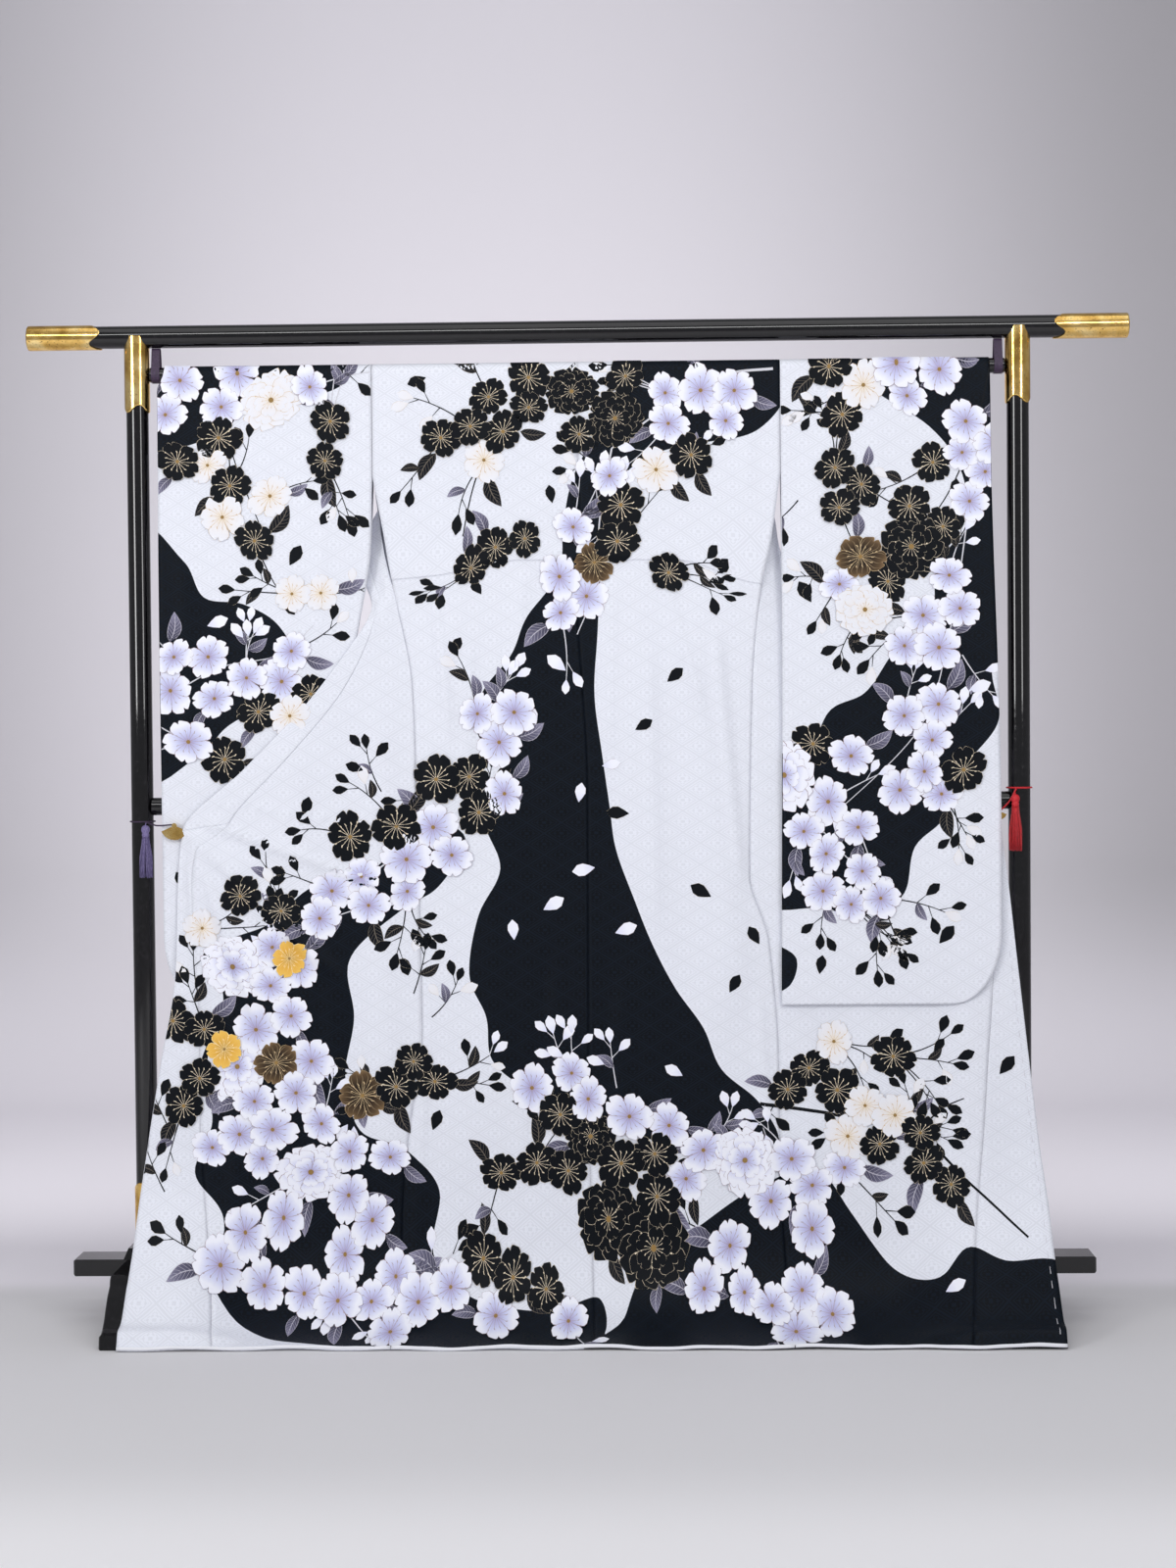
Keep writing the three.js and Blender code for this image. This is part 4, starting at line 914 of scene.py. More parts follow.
def print_materials() -> list[bpy.types.Material]:
    """The materials of a print, in the order of Dye."""
    return [
        PetalInk("petal_white_lilac", ((0.0, (0.46, 0.34, 0.44)), (0.14, (0.44, 0.42, 0.68)),
                                       (0.42, (0.62, 0.64, 0.87)), (0.76, (0.86, 0.87, 0.95))),
                 (0.40, 0.31, 0.34), 0.16, 0.8, 0.95, 0.95).material(),
        PetalInk("petal_blue_black", ((0.0, (0.012, 0.012, 0.014)), (0.3, INK), (1.0, INK)),
                 (0.86, 0.74, 0.56), 0.0, 0.95, 0.7, 0.968).material(),
        PetalInk("petal_bronze", ((0.0, (0.02, 0.014, 0.01)), (0.35, (0.02, 0.014, 0.011)),
                                  (0.8, (0.10, 0.062, 0.032)), (1.0, (0.22, 0.14, 0.07))),
                 (0.66, 0.49, 0.28), 0.45, 1.0, 0.85, 0.955, 1.0).material(),
        PetalInk("petal_ghost_gold", ((0.0, (0.82, 0.72, 0.58)), (0.35, (0.82, 0.79, 0.79)), (1.0, SILK)),
                 (0.62, 0.44, 0.24), 0.22, 0.85, 0.75, 0.95).material(),
        PetalInk("petal_gold_foil", ((0.0, (0.50, 0.26, 0.03)), (0.5, (0.78, 0.43, 0.07)),
                                     (1.0, (0.86, 0.54, 0.12))),
                 (0.98, 0.82, 0.46), 0.6, 0.9, 0.9, 0.93).material(),
        LeafInk("leaf_blue_black", ((0.0, INK), (1.0, (0.006, 0.008, 0.014))), (0.16, 0.135, 0.11)).material(),
        LeafInk("leaf_grey_violet", ((0.0, (0.035, 0.035, 0.06)), (0.6, (0.13, 0.125, 0.19)),
                                     (1.0, (0.25, 0.24, 0.34))), (0.50, 0.48, 0.56)).material(),
        flat_ink("line_black", INK),
        flat_ink("line_white", (0.70, 0.70, 0.76)),
        flat_ink("core_gold", (0.34, 0.21, 0.07), 0.4),
    ]


# --------------------------------------------------------------------------- motifs
def grid_form(rows: int, cols: int, base: float, local: Callable[[Array, Array], tuple[Array, Array]],
              v_low: float = 0.0, v_high: float = 1.0) -> Form:
    """A form worked out on a grid of u, across from -1 to 1, and v, from the base to 1 at the tip.

    Args:
        rows: along v. cols: along u. base: least v. local: from (u, v) to the form's own x and y.
        v_low: the uv map's v where v is 0. v_high: where it is 1.
    """
    v, u = np.meshgrid(np.linspace(base, 1, rows), np.linspace(-1, 1, cols), indexing="ij")
    points = np.stack(local(u, v), -1).reshape(-1, 2)
    return points, np.stack([u, mix(v_low, v_high, v)], -1).reshape(-1, 2), grid_quads(rows, cols)


def petal_shape(u: Array, v: Array) -> tuple[Array, Array]:
    """A cherry petal: a skewed sine of v wide, its tip notched at u = 0 and rounded by u squared."""
    wide = 0.455 * np.sin(math.pi * (0.86 * v**1.5) + 0.05) ** 0.8
    return wide * u, v - 0.17 * bell(u / 0.24) * v**5 - 0.07 * u**2 * v**4


def leaf_shape(u: Array, v: Array) -> tuple[Array, Array]:
    """A pointed leaf, bent slightly to one side."""
    return 0.23 * np.sin(math.pi * v**0.85) ** 0.85 * u + 0.10 * np.sin(math.pi * v), v


def bud_shape(u: Array, v: Array) -> tuple[Array, Array]:
    """A closed bud or a petal seen on edge: a drop."""
    return 0.29 * np.sin(math.pi * v**1.3 * 0.98 + 0.02) ** 0.8 * u, v


def dot_form(count: int = 10) -> Form:
    """A small round dot of radius 1 as a fan of quads about its middle."""
    angle = np.linspace(0, 2 * math.pi, count, endpoint=False)
    ring = np.stack([np.cos(angle), np.sin(angle)], -1)
    i = np.arange(0, count, 2)
    quads = np.stack([np.full_like(i, count), i, (i + 1) % count, (i + 2) % count], -1)
    return np.vstack([ring, [[0, 0]]]), np.vstack([ring, [[0, 0]]]), quads


# buds take their tone from the outer part of a petal's gradient, where it has no stamens
FORMS = {"petal": grid_form(7, 9, 0.03, petal_shape), "leaf": grid_form(8, 5, 0.0, leaf_shape),
         "bud": grid_form(5, 5, 0.0, bud_shape, 0.56, 0.94), "dot": dot_form()}


@dataclass
class Motif:
    """One printed shape in the chart: a form placed by its base, direction, size and lift.

    The squash is a share and the direction, as an angle, along which the form is shortened to it.
    """

    form: str
    x: float
    h: float
    angle: float
    size: float
    dye: Dye
    lift: float
    squash: Pair = (1.0, 0.0)


class Print:
    """Everything dyed on one layer, gathered and made as one mesh that follows the cloth."""

    def __init__(self, layer: Layer, pools: Sequence[Pool], seed: int) -> None:
        """An empty print.

        Args:
            layer: the cloth surface. pools: its dyed grounds. seed: for the artist's unevenness.
        """
        self.layer = layer
        self.pools = pools
        self.rng = np.random.default_rng(seed)
        self.motifs: list[Motif] = []
        self.ribbons: list[tuple[Array, float, Dye, float]] = []
        self.blossoms: list[Triple] = []

    def on_ink(self, x: float, h: float) -> bool:
        """True on the blue-black ground."""
        return bool(inked(self.pools, np.array([x]), np.array([h]))[0] > 0)

    def choose(self, x: float, h: float, black: float = 0.70, bronze: float = 0.03,
               ghost: float = 0.13) -> Dye:
        """A dye that shows against the ground at a place, by the shares given for the white ground."""
        roll = self.rng.random()
        if self.on_ink(x, h):
            return Dye.BRONZE if roll < bronze else Dye.WHITE
        if roll < black:
            return Dye.BLACK
        if roll < black + bronze:
            return Dye.BRONZE
        return Dye.GHOST if roll < black + bronze + ghost else Dye.WHITE

    def blossom(self, x: float, h: float, radius: float, dye: Dye, double: bool = False) -> None:
        """A single blossom of five petals, or a double one of three rings.

        Neighbours lie at five heights in turn, and foil above them all, so that no two share a plane.
        """
        base = 4.2 if dye is Dye.FOIL else 0.75 + 0.55 * (len(self.blossoms) % 5)
        turn = self.rng.uniform(0, 2 * math.pi)
        squash = (self.rng.uniform(0.80, 1.0), self.rng.uniform(0, math.pi))
        rings = ((8, 1.0, 0.0), (7, 0.78, 0.4), (5, 0.52, 0.9)) if double else ((5, 1.0, 0.0),)
        for ring, (count, share, offset) in enumerate(rings):
            for k in range(count):
                angle = turn + offset + 2 * math.pi * k / count + self.rng.normal(0, 0.05)
                size = radius * share * self.rng.uniform(0.93, 1.05)
                lift = base + 0.35 * ring + 0.06 * (k % 3) + (0.05 if k == count - 1 else 0)
                self.motifs.append(Motif("petal", x, h, angle, size, dye, lift, squash))
        top = base + (1.25 if double else 0.3)
        self.motifs.append(Motif("dot", x, h, 0, radius * 0.075, Dye.CORE, top))
        self.blossoms.append((x, h, radius))

    def leaf(self, x: float, h: float, angle: float, size: float, lift: float = 0.5) -> None:
        """A leaf, mostly blue-black on the white ground and always grey-violet on the ink."""
        dark = not self.on_ink(x + 0.5 * size * math.cos(angle), h + 0.5 * size * math.sin(angle))
        dye = Dye.LEAF_DARK if dark and self.rng.random() < 0.7 else Dye.LEAF_GREY
        self.motifs.append(Motif("leaf", x, h, angle, size, dye, lift))

    def stem(self, points: Array, width: float, lift: float = 0.4) -> None:
        """A brushed stem along points, black on the white ground and pale on the ink."""
        points = np.asarray(points, float)
        ink = inked(self.pools, points[:, 0], points[:, 1]) > 0
        dye = Dye.LINE_WHITE if ink.mean() > 0.5 else Dye.LINE_BLACK
        self.ribbons.append((points, width, dye, lift))

    def sprig(self, x: float, h: float, angle: float, reach: float, buds: int) -> None:
        """A drooping stalk with buds on short side stalks, and one small leaf."""
        t = np.linspace(0, 1, 9)
        heading = angle + 0.5 * self.rng.uniform(-1, 1) * t
        strides = np.stack([np.cumsum(np.cos(heading)), np.cumsum(np.sin(heading))], -1) * reach / 9
        path = np.vstack([[x, h], np.array([x, h]) + strides])
        self.stem(path, 2.2)
        for k in range(buds):
            tip, lean = path[-1 - 7 * k // buds], heading[-1]
            if k:  # the first bud ends the stalk, the others stand out on both sides
                lean += (k % 2 * 2 - 1) * (0.35 + 0.25 * k)
                place, tip = tip, tip + np.array([math.cos(lean), math.sin(lean)]) * reach * 0.22
                self.stem(np.linspace(place, tip, 4), 1.6)
            dye = Dye.WHITE if self.on_ink(*tip) else (Dye.BLACK if self.rng.random() < 0.8 else Dye.GHOST)
            self.motifs.append(Motif("bud", *tip, lean, self.rng.uniform(24, 32), dye, 0.62))
        if self.rng.random() < 0.6:
            self.leaf(*path[4], heading[4] + self.rng.choice([-0.8, 0.8]), self.rng.uniform(28, 42))

    def cluster(self, path: Sequence[Pair], count: int, spread: float, sprigs: int, doubles: float,
                radius: Pair = (36, 46), **weights: float) -> None:
        """Blossoms strewn along a path, each clear of the others' middles, with leaves and sprigs outside.

        Args:
            path: chart places. count: how many blossoms. spread: how far they stray from the path.
            sprigs: stalks with buds. doubles: share of double blossoms. radius: least and most.
            weights: shares of the dyes, as choose takes them.
        """
        middle_line = np.array(path, float)
        along = run_along(middle_line)
        placed: list[Triple] = []
        for _ in range(count * 14):
            if len(placed) >= count:
                break
            t = self.rng.uniform(0, along[-1])
            x = np.interp(t, along, middle_line[:, 0]) + self.rng.normal(0, spread * 0.55)
            h = np.interp(t, along, middle_line[:, 1]) + self.rng.normal(0, spread * 0.45)
            double = self.rng.random() < doubles * 1.5 and len(placed) < count * 0.6
            size = self.rng.uniform(*radius) * (1.38 if double else 1.0)
            if any(math.hypot(x - a, h - b) < 0.63 * (size + r) for a, b, r in placed + self.blossoms):
                continue
            placed.append((x, h, size))
            dye = self.choose(x, h, **weights)
            if dye is Dye.BRONZE and double:
                dye = Dye.WHITE if self.on_ink(x, h) else Dye.BLACK
            self.blossom(x, h, size, dye, double)
        if not placed:
            return
        middle = np.mean([(x, h) for x, h, _ in placed], axis=0)
        for x, h, size in placed[:int(len(placed) * 0.8)]:
            away = math.atan2(h - middle[1], x - middle[0]) + self.rng.normal(0, 0.8)
            start = (x + 0.7 * size * math.cos(away), h + 0.7 * size * math.sin(away))
            self.leaf(*start, away + self.rng.normal(0, 0.3), self.rng.uniform(38, 58), 0.45)
        for _ in range(sprigs):
            x, h, size = placed[int(self.rng.integers(len(placed)))]
            away = math.atan2(h - middle[1], x - middle[0]) + self.rng.normal(0, 0.5)
            self.sprig(x + 0.6 * size * math.cos(away), h + 0.6 * size * math.sin(away), away,
                       self.rng.uniform(48, 92), int(self.rng.integers(2, 5)))

    def petals(self, places: Sequence[Triple]) -> None:
        """Falling petals at (x, h, angle in degrees)."""
        for x, h, degrees in places:
            dye = Dye.WHITE if self.on_ink(x, h) else Dye.BLACK
            self.motifs.append(Motif("bud", x, h, math.radians(degrees), self.rng.uniform(30, 40), dye, 0.55))

    def stems(self, *drawn: tuple[float, Sequence[Pair]]) -> None:
        """Brushed stems, each a width and the chart places that it bends through."""
        for width, places in drawn:
            self.stem(bent(places), width)

    def placed(self, form: str) -> tuple[Array, ...] | None:
        """Every motif of one form, turned, squashed, clamped to the layer and lifted off the cloth.

        Returns:
            Points, uv, quads and a dye for each quad, or None where the form isn't used. Quads that the
            clamp has flattened are left out.
        """
        chosen = [m for m in self.motifs if m.form == form]
        if not chosen:
            return None
        local, uv, cells = FORMS[form]
        angle = np.array([m.angle for m in chosen]) - math.pi / 2
        size = np.array([m.size for m in chosen])
        base = np.array([(m.x, m.h) for m in chosen])
        turn = np.stack([np.stack([np.cos(angle), -np.sin(angle)], -1),
                         np.stack([np.sin(angle), np.cos(angle)], -1)], -2)
        flat = np.einsum("mij,nj->mni", turn, local) * size[:, None, None]
        squash = np.array([m.squash for m in chosen])
        axis = np.stack([np.cos(squash[:, 1]), np.sin(squash[:, 1])], -1)
        along = np.einsum("mni,mi->mn", flat, axis)
        flat = flat - ((1 - squash[:, 0])[:, None] * along)[..., None] * axis[:, None] + base[:, None]
        x, h = self.layer.clamp(flat[..., 0], flat[..., 1])
        lift = SILK_T / 2 + np.array([m.lift for m in chosen])[:, None] * np.ones(x.shape)
        chart = np.stack([x, h], -1)[:, cells]
        area = np.abs(np.sum(chart[..., 0] * np.roll(chart[..., 1], -1, -1)
                             - chart[..., 1] * np.roll(chart[..., 0], -1, -1), -1))
        kept = area > 0.5
        quads = cells[None] + (np.arange(len(chosen)) * len(local))[:, None, None]
        return (self.layer.lifted(x, h, lift).reshape(-1, 3), np.tile(uv, (len(chosen), 1)), quads[kept],
                np.repeat([m.dye.value for m in chosen], kept.sum(1)))

    def brushed(self, path: Array, width: float, dye: Dye, lift: float) -> tuple[Array, ...]:
        """A stem or stitch as a strip that narrows to its end: points, uv, quads and dyes."""
        fine = resampled(path, 6.0)
        heading = np.gradient(fine, axis=0)
        side = np.stack([-heading[:, 1], heading[:, 0]], -1) / (np.linalg.norm(heading, axis=1)[:, None] + 1e-9)
        taper = width * (1 - 0.45 * np.linspace(0, 1, len(fine)))[:, None] / 2
        strip = np.stack([fine - side * taper, fine + side * taper], 1)
        x, h = self.layer.clamp(strip[..., 0], strip[..., 1])
        return (self.layer.lifted(x, h, np.full(x.shape, SILK_T / 2 + lift)).reshape(-1, 3),
                np.zeros((len(fine) * 2, 2)), grid_quads(len(fine), 2), np.full(len(fine) - 1, dye.value))

    def build(self) -> Piece:
        """One mesh of all the motifs and stems, with the dyes as material numbers."""
        parts = [part for part in map(self.placed, FORMS) if part is not None]
        parts += [self.brushed(*ribbon) for ribbon in self.ribbons]
        points, uvs, quads, dyes = zip(*parts)
        obj = make_joined(f"print_{self.layer.name}", points, quads)
        obj.data.polygons.foreach_set("material_index", np.concatenate(dyes).astype(np.int32))
        set_uv(obj, np.vstack(uvs), "petal")
        return obj


# --------------------------------------------------------------------------- cloth pieces
OVER_ROD = tuple(SHOULDER_H - 0.1 - 13.7 * k / 6 for k in range(7))


@dataclass
class ClothPiece:
    """One cut piece as a fine grid: its points, chart places and dyed ground, made a thin wall."""

    name: str
    points: Array
    chart: Array
    ink: Array
    flat: Pair
    thickness: float = SILK_T
    flip: bool = False

    def build(self, outer: bpy.types.Material, reverse: bpy.types.Material) -> Piece:
        """Meshes the grid, gives it its wall and finish, and lets it stand for its solid."""
        rows, cols = self.points.shape[:2]
        quads = grid_quads(rows, cols)
        obj = make_mesh(f"silk_{self.name}", self.points.reshape(-1, 3), quads[:, ::-1] if self.flip else quads)
        set_uv(obj, self.chart.reshape(-1, 2) * MM, "chart")
        set_float(obj, "ink", self.ink)
        solidify(obj, self.thickness)
        dress(obj, "silk", outer, reverse)
        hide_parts(self.name)
        return obj


@dataclass
class Kimono:
    """The furisode: backs, fronts, okumi, collar and sleeves, and the print on them."""

    silk: FiguredSilk = field(default_factory=FiguredSilk)
    cell: Pair = (6.5, 8.5)

    def back(self, side: int, name: str) -> ClothPiece:
        """A back panel from the centre seam to its side edge."""
        near_tuck = [TUCK_H + d for d in (30, 14, 6, 2.5, 0.8, -0.3, -1.2, -2.4, -5, -12)]
        h = descending(OVER_ROD, rows_between(ROWS_TOP, 0, self.cell[1], near_tuck),
                       rows_between(60, 0, FINE_ROW))[:, None]
        u = np.linspace(0, 1, int(HALF_BACK / self.cell[0]))[None, :]
        edge_curve = SIDE_LEFT if side < 0 else SIDE_RIGHT
        inner, edge = CENTRE(h), edge_curve(follow_tuck(edge_curve(h), h))
        x = mix(inner, edge, 1 - u if side < 0 else u)
        height = h + 0 * x
        points = back_point(x, height)
        # the seam allowance draws each panel back a little at the centre and side seams
        dip = 0.9 * bell((x - inner) / 5) + 0.8 * bell((x - edge) / 6) * ease((1230 - h) / 40)
        points[..., 1] += dip * ease((h - 20) / 60) * ease((1590 - h) / 20)
        return ClothPiece(f"back_{name}", points, np.stack([x, height], -1), inked(BODY_POOLS, x, height),
                          (0.33, 1.70), flip=True)

    def front_part(self, front: SpreadFront, node: str, heights: Array, columns: int,
                   low: Callable[[Array], Array], high: Callable[[Array], Array], flat: Pair,
                   thickness: float = SILK_T) -> ClothPiece:
        """Part of a spread front between two shares of each row, drawn back a little at its seams."""
        h = heights[:, None]
        t = np.linspace(0, 1, columns)[None, :]
        s = mix(low(h), high(h), t if front.side < 0 else 1 - t)
        h = h + 0 * s
        points = front.at(s, h)
        height = mix(h, front.column(Row.FREE_H, h), s)
        x = points[..., 0]
        seams = bell((s - low(h)) * 60) + bell((s - high(h)) * 60)
        points[..., 1] += 0.35 * seams * ease((SPREAD_H - h) / 80) * ease(h / 60)
        ink = np.where(height < 1150, inked(BODY_POOLS, x, height), UNDYED)
        return ClothPiece(node, points, np.stack([x, height], -1), ink, flat, thickness)

    def front_pieces(self, front: SpreadFront, name: str) -> list[ClothPiece]:
        """A front panel, its okumi below the clip and its collar above it."""
        heights = descending(OVER_ROD, rows_between(ROWS_TOP, 0, self.cell[1], rows_between(60, 0, FINE_ROW)))
        above = np.append(heights[heights > CLIP_H + 1], CLIP_H)
        below = np.append(CLIP_H, heights[heights < CLIP_H - 1])
        return [
            self.front_part(front, f"front_{name}", heights, 46, np.zeros_like, front.seam, (0.27, 1.72)),
            self.front_part(front, f"okumi_{name}", below, 22, front.seam, np.ones_like, (0.09, 0.89)),
            self.front_part(front, f"collar_{name}", above, 16, front.seam, np.ones_like, (0.065, 0.73),
                            COLLAR_T),
        ]

    def collar_neck(self) -> ClothPiece:
        """The collar across the back of the neck, over the rod and down behind it."""
        quarter, low, half = 21.8, 85.0, 89.4  # run over the rod, run to the lower edge, half the width
        along = np.concatenate([np.linspace(0.3, quarter, 9), np.linspace(26, low, 14)])[:, None]
        x = np.linspace(-half, half, 30)[None, :] + 0 * along
        angle = along / FOLD_R
        over = along <= FOLD_R * math.pi / 2
        y = np.where(over, FOLD_R * np.sin(angle), FOLD_R + (along - quarter) * 0.06 + 1.2 * np.sin(x / 30))
        z = np.where(over, ROD_Z + FOLD_R * np.cos(angle), ROD_Z - (along - quarter))
        points = np.stack([x, y + 0 * x, z + 0 * x], -1)
        chart = np.stack([x, 1617 - along + 0 * x], -1)
        return ClothPiece("collar_neck", points, chart, np.full(x.shape, UNDYED), (0.20, 0.09), 1.0)

    def sleeve(self, form: SleeveForm, name: str, pools: Sequence[Pool]) -> ClothPiece:
        """A sleeve's one length, near wall, over the rod, far wall."""
        heights = descending(OVER_ROD, rows_between(ROWS_TOP, SLEEVE_LOW, self.cell[1]),
                             rows_between(600, SLEEVE_LOW, FINE_ROW))
        near = heights[::-1] - SHOULDER_H
        run = np.concatenate([near, -near[::-1]])[:, None]
        u = np.linspace(0, 1, 54)[None, :]
        u = 1 - u if form.side < 0 else u
        points = form.at(u, run + 0 * u)
        h = SHOULDER_H - np.abs(run) + 0 * u
        x = points[..., 0]
        chart = np.stack([x, np.where(run > 0, 2 * SHOULDER_H - h, h)], -1)
        return ClothPiece(f"sleeve_{name}", points, chart, inked(pools, x, h), (0.36, 2.14))

    def build(self) -> None:
        """Every cloth piece as a hung sheet, the print on them, and the hem's rolls."""
        outer, reverse = (self.silk.material(face) for face in (Face.OUTER, Face.REVERSE))
        pieces = []
        for side, name, front, form, pools in (
            (-1, "left", LEFT_FRONT, LEFT_SLEEVE, SLEEVE_LEFT_POOLS),
            (1, "right", RIGHT_FRONT, RIGHT_SLEEVE, SLEEVE_RIGHT_POOLS),
        ):
            pieces += [self.back(side, name), *self.front_pieces(front, name), self.sleeve(form, name, pools)]
        pieces.append(self.collar_neck())
        made = [(piece, piece.build(outer, reverse)) for piece in pieces]
        prints = [design.build() for design in (body_design(), left_sleeve_design(), right_sleeve_design())]
        inks = print_materials()
        for obj in prints:
            dress(obj, "silk", *inks)
            LOG.info("print %s with %d faces", obj.name, len(obj.data.polygons))
        plain = Tree("hem_silk").set(Base_Color=(0.80, 0.81, 0.86, 1.0), Roughness=0.6).material
        for name, left, right in (("hem_left", BODY_LEFT(0) + 1, SIDE_LEFT(0) - 1),
                                  ("hem_back", SIDE_LEFT(0) + 0.5, SIDE_RIGHT(0) - 0.5),
                                  ("hem_right", SIDE_RIGHT(0) + 1, BODY_RIGHT(0) - 1)):
            hem_roll(name, float(left), float(right), plain)
        for piece, obj in made:
            LOG.info("silk %s", obj.name)


def hem_roll(name: str, left: float, right: float, material: bpy.types.Material) -> None:
    """The padded white roll along the hem, wavering a little, as a tube between two chart places."""
    x = np.linspace(left, right, int((right - left) / 9))
    waver = 0.5 * np.sin(x / 23) + 0.4 * np.sin(x / 9.7 + 1) + 0.7 * np.sin(x / 61 + 2)
    centre = body_point(x, np.full(x.shape, 2.0)) + np.stack([0 * x, -1.6 + 0.5 * waver, 2.6 + 0.5 * waver], -1)
    angle = np.linspace(0, 2 * math.pi, 12, endpoint=False)
    ring = np.stack([0 * angle, np.cos(angle), np.sin(angle)], -1)
    points = centre[:, None] + (3.0 + 0.25 * waver)[:, None, None] * ring[None]
    points[..., 2] = np.maximum(points[..., 2], 0.3)
    obj = make_mesh(name, points.reshape(-1, 3), grid_quads(len(x), len(angle), wrap=True))
    closed_ends(obj)
    dress(obj, "silk", material)


def basting() -> list[tuple[Array, float, Dye, float]]:
    """Running stitches that tack the free edge of the right front, 11 mm in from it."""
    stitches = []
    for low in np.arange(20, 620, 22.0):
        h = low + np.linspace(0, 11, 4)
        line = np.stack([BODY_RIGHT(h) - 11 + 0.3 * np.sin(low), h], -1)
        stitches.append((line, 1.1, Dye.LINE_WHITE, 0.7))
    return stitches


def body_design() -> Print:
    """The body: a spray down the back, another across to the lower left, and one along the hem."""
    body = Print(BODY, BODY_POOLS, 11)
    for x, h, radius, double in ((-6, 1566, 47, True), (66, 1520, 50, True), (-78, 1540, 34, False),
                                 (84, 1590, 36, False), (6, 1494, 35, False)):
        body.blossom(x, h, radius, Dye.BLACK, double)
    body.cluster([(262, 1560), (180, 1540), (140, 1480)], 9, 44, 4, 0.25, black=0.8)
    body.cluster([(150, 1480), (96, 1410), (60, 1340)], 9, 36, 4, 0.0)
    body.cluster([(20, 1330), (14, 1270), (-10, 1200)], 9, 36, 5, 0.0)
    body.cluster([(-40, 1590), (-110, 1530), (-180, 1470)], 8, 34, 4, 0.0, radius=(35, 42), black=0.75,
                 ghost=0.25)
    body.cluster([(-70, 1330), (-140, 1300), (-180, 1290)], 4, 18, 2, 0.0, radius=(33, 40), black=1.0)
    body.cluster([(130, 1290), (170, 1250)], 3, 14, 3, 0.0, radius=(33, 40), black=0.9)
    body.cluster([(-110, 1030), (-170, 960), (-230, 900)], 8, 30, 4, 0.0)
    body.cluster([(-180, 880), (-260, 820), (-340, 760), (-400, 700)], 18, 44, 7, 0.06)
    body.cluster([(-540, 640), (-500, 560), (-520, 460)], 20, 64, 4, 0.22)
    body.cluster([(-500, 420), (-460, 320), (-400, 230)], 24, 74, 4, 0.16)
    body.cluster([(-640, 520), (-636, 400), (-610, 300)], 12, 28, 4, 0.05, black=0.85)
    body.cluster([(-560, 160), (-470, 110), (-330, 90)], 16, 46, 3, 0.10)
    body.cluster([(-300, 440), (-250, 400), (-210, 430)], 6, 26, 4, 0.0, radius=(34, 42), black=0.9)
    body.cluster([(-230, 130), (-130, 90), (-20, 80)], 13, 40, 2, 0.12)
    body.cluster([(-160, 230), (-80, 270), (-30, 250)], 7, 26, 4, 0.0, radius=(34, 42), black=0.85)
    body.cluster([(-30, 360), (60, 320), (150, 270), (110, 200)], 24, 66, 3, 0.2)
    body.cluster([(220, 300), (320, 270), (420, 220)], 18, 50, 3, 0.1)
    body.cluster([(190, 130), (300, 90), (400, 80)], 12, 42, 2, 0.0)
    body.cluster([(330, 400), (430, 380), (520, 340)], 9, 30, 3, 0.05, black=0.6, ghost=0.25)
    body.cluster([(530, 320), (600, 270), (650, 210)], 9, 26, 3, 0.0, radius=(35, 44), black=1.0)
    body.cluster([(500, 470), (540, 420)], 4, 18, 4, 0.0, radius=(35, 42), black=1.0)
    body.cluster([(-645, 690), (-620, 640)], 3, 14, 2, 0.0, radius=(33, 40), black=0.0, ghost=0.95)
    body.cluster([(420, 470), (350, 430)], 4, 16, 3, 0.0, radius=(33, 40), black=0.0, ghost=0.9)
    for x, h, angle in ((-640, 560, 100), (-690, 330, 115), (-700, 230, 120), (-330, 900, 120),
                        (-280, 560, 70), (-250, 520, 40), (60, 400, 100), (-20, 420, 115)):
        body.sprig(x, h, math.radians(angle), 76, 4)
    body.stems(
        (6.0, [(300, 372), (430, 352), (560, 320), (650, 236), (740, 160)]),
        (3.4, [(560, 320), (600, 360), (640, 380)]),
        (4.6, [(330, 1600), (240, 1588), (140, 1530), (60, 1470)]),
        (3.0, [(60, 1470), (40, 1360), (30, 1240), (0, 1160)]),
        (3.4, [(0, 1610), (-90, 1540), (-160, 1440), (-190, 1330)]),
        (4.0, [(-90, 1060), (-190, 930), (-300, 800), (-440, 700)]),
    )
    body.petals((
        (-250, 1592, 200), (-96, 1590, 60), (-40, 1380, 100), (-160, 1230, 120), (150, 1080, 40),
        (96, 1000, 30), (84, 860, 175), (26, 770, 190), (250, 560, 60), (-70, 1010, 110), (-20, 1100, 140),
        (0, 880, 80), (-60, 700, 30), (-110, 650, 95), (60, 660, 20), (170, 420, 150), (-250, 330, 70),
        (640, 560, 40), (700, 420, 50), (-210, 1130, 60), (-460, 860, 75), (600, 90, 20), (300, 640, 120),
        (40, 940, 10), (220, 720, 150),
    ))
    body.ribbons += basting()
    # two blossoms worked in gold foil
    body.blossom(-486, 622, 34, Dye.FOIL)
    body.blossom(-598, 470, 34, Dye.FOIL)
    return body


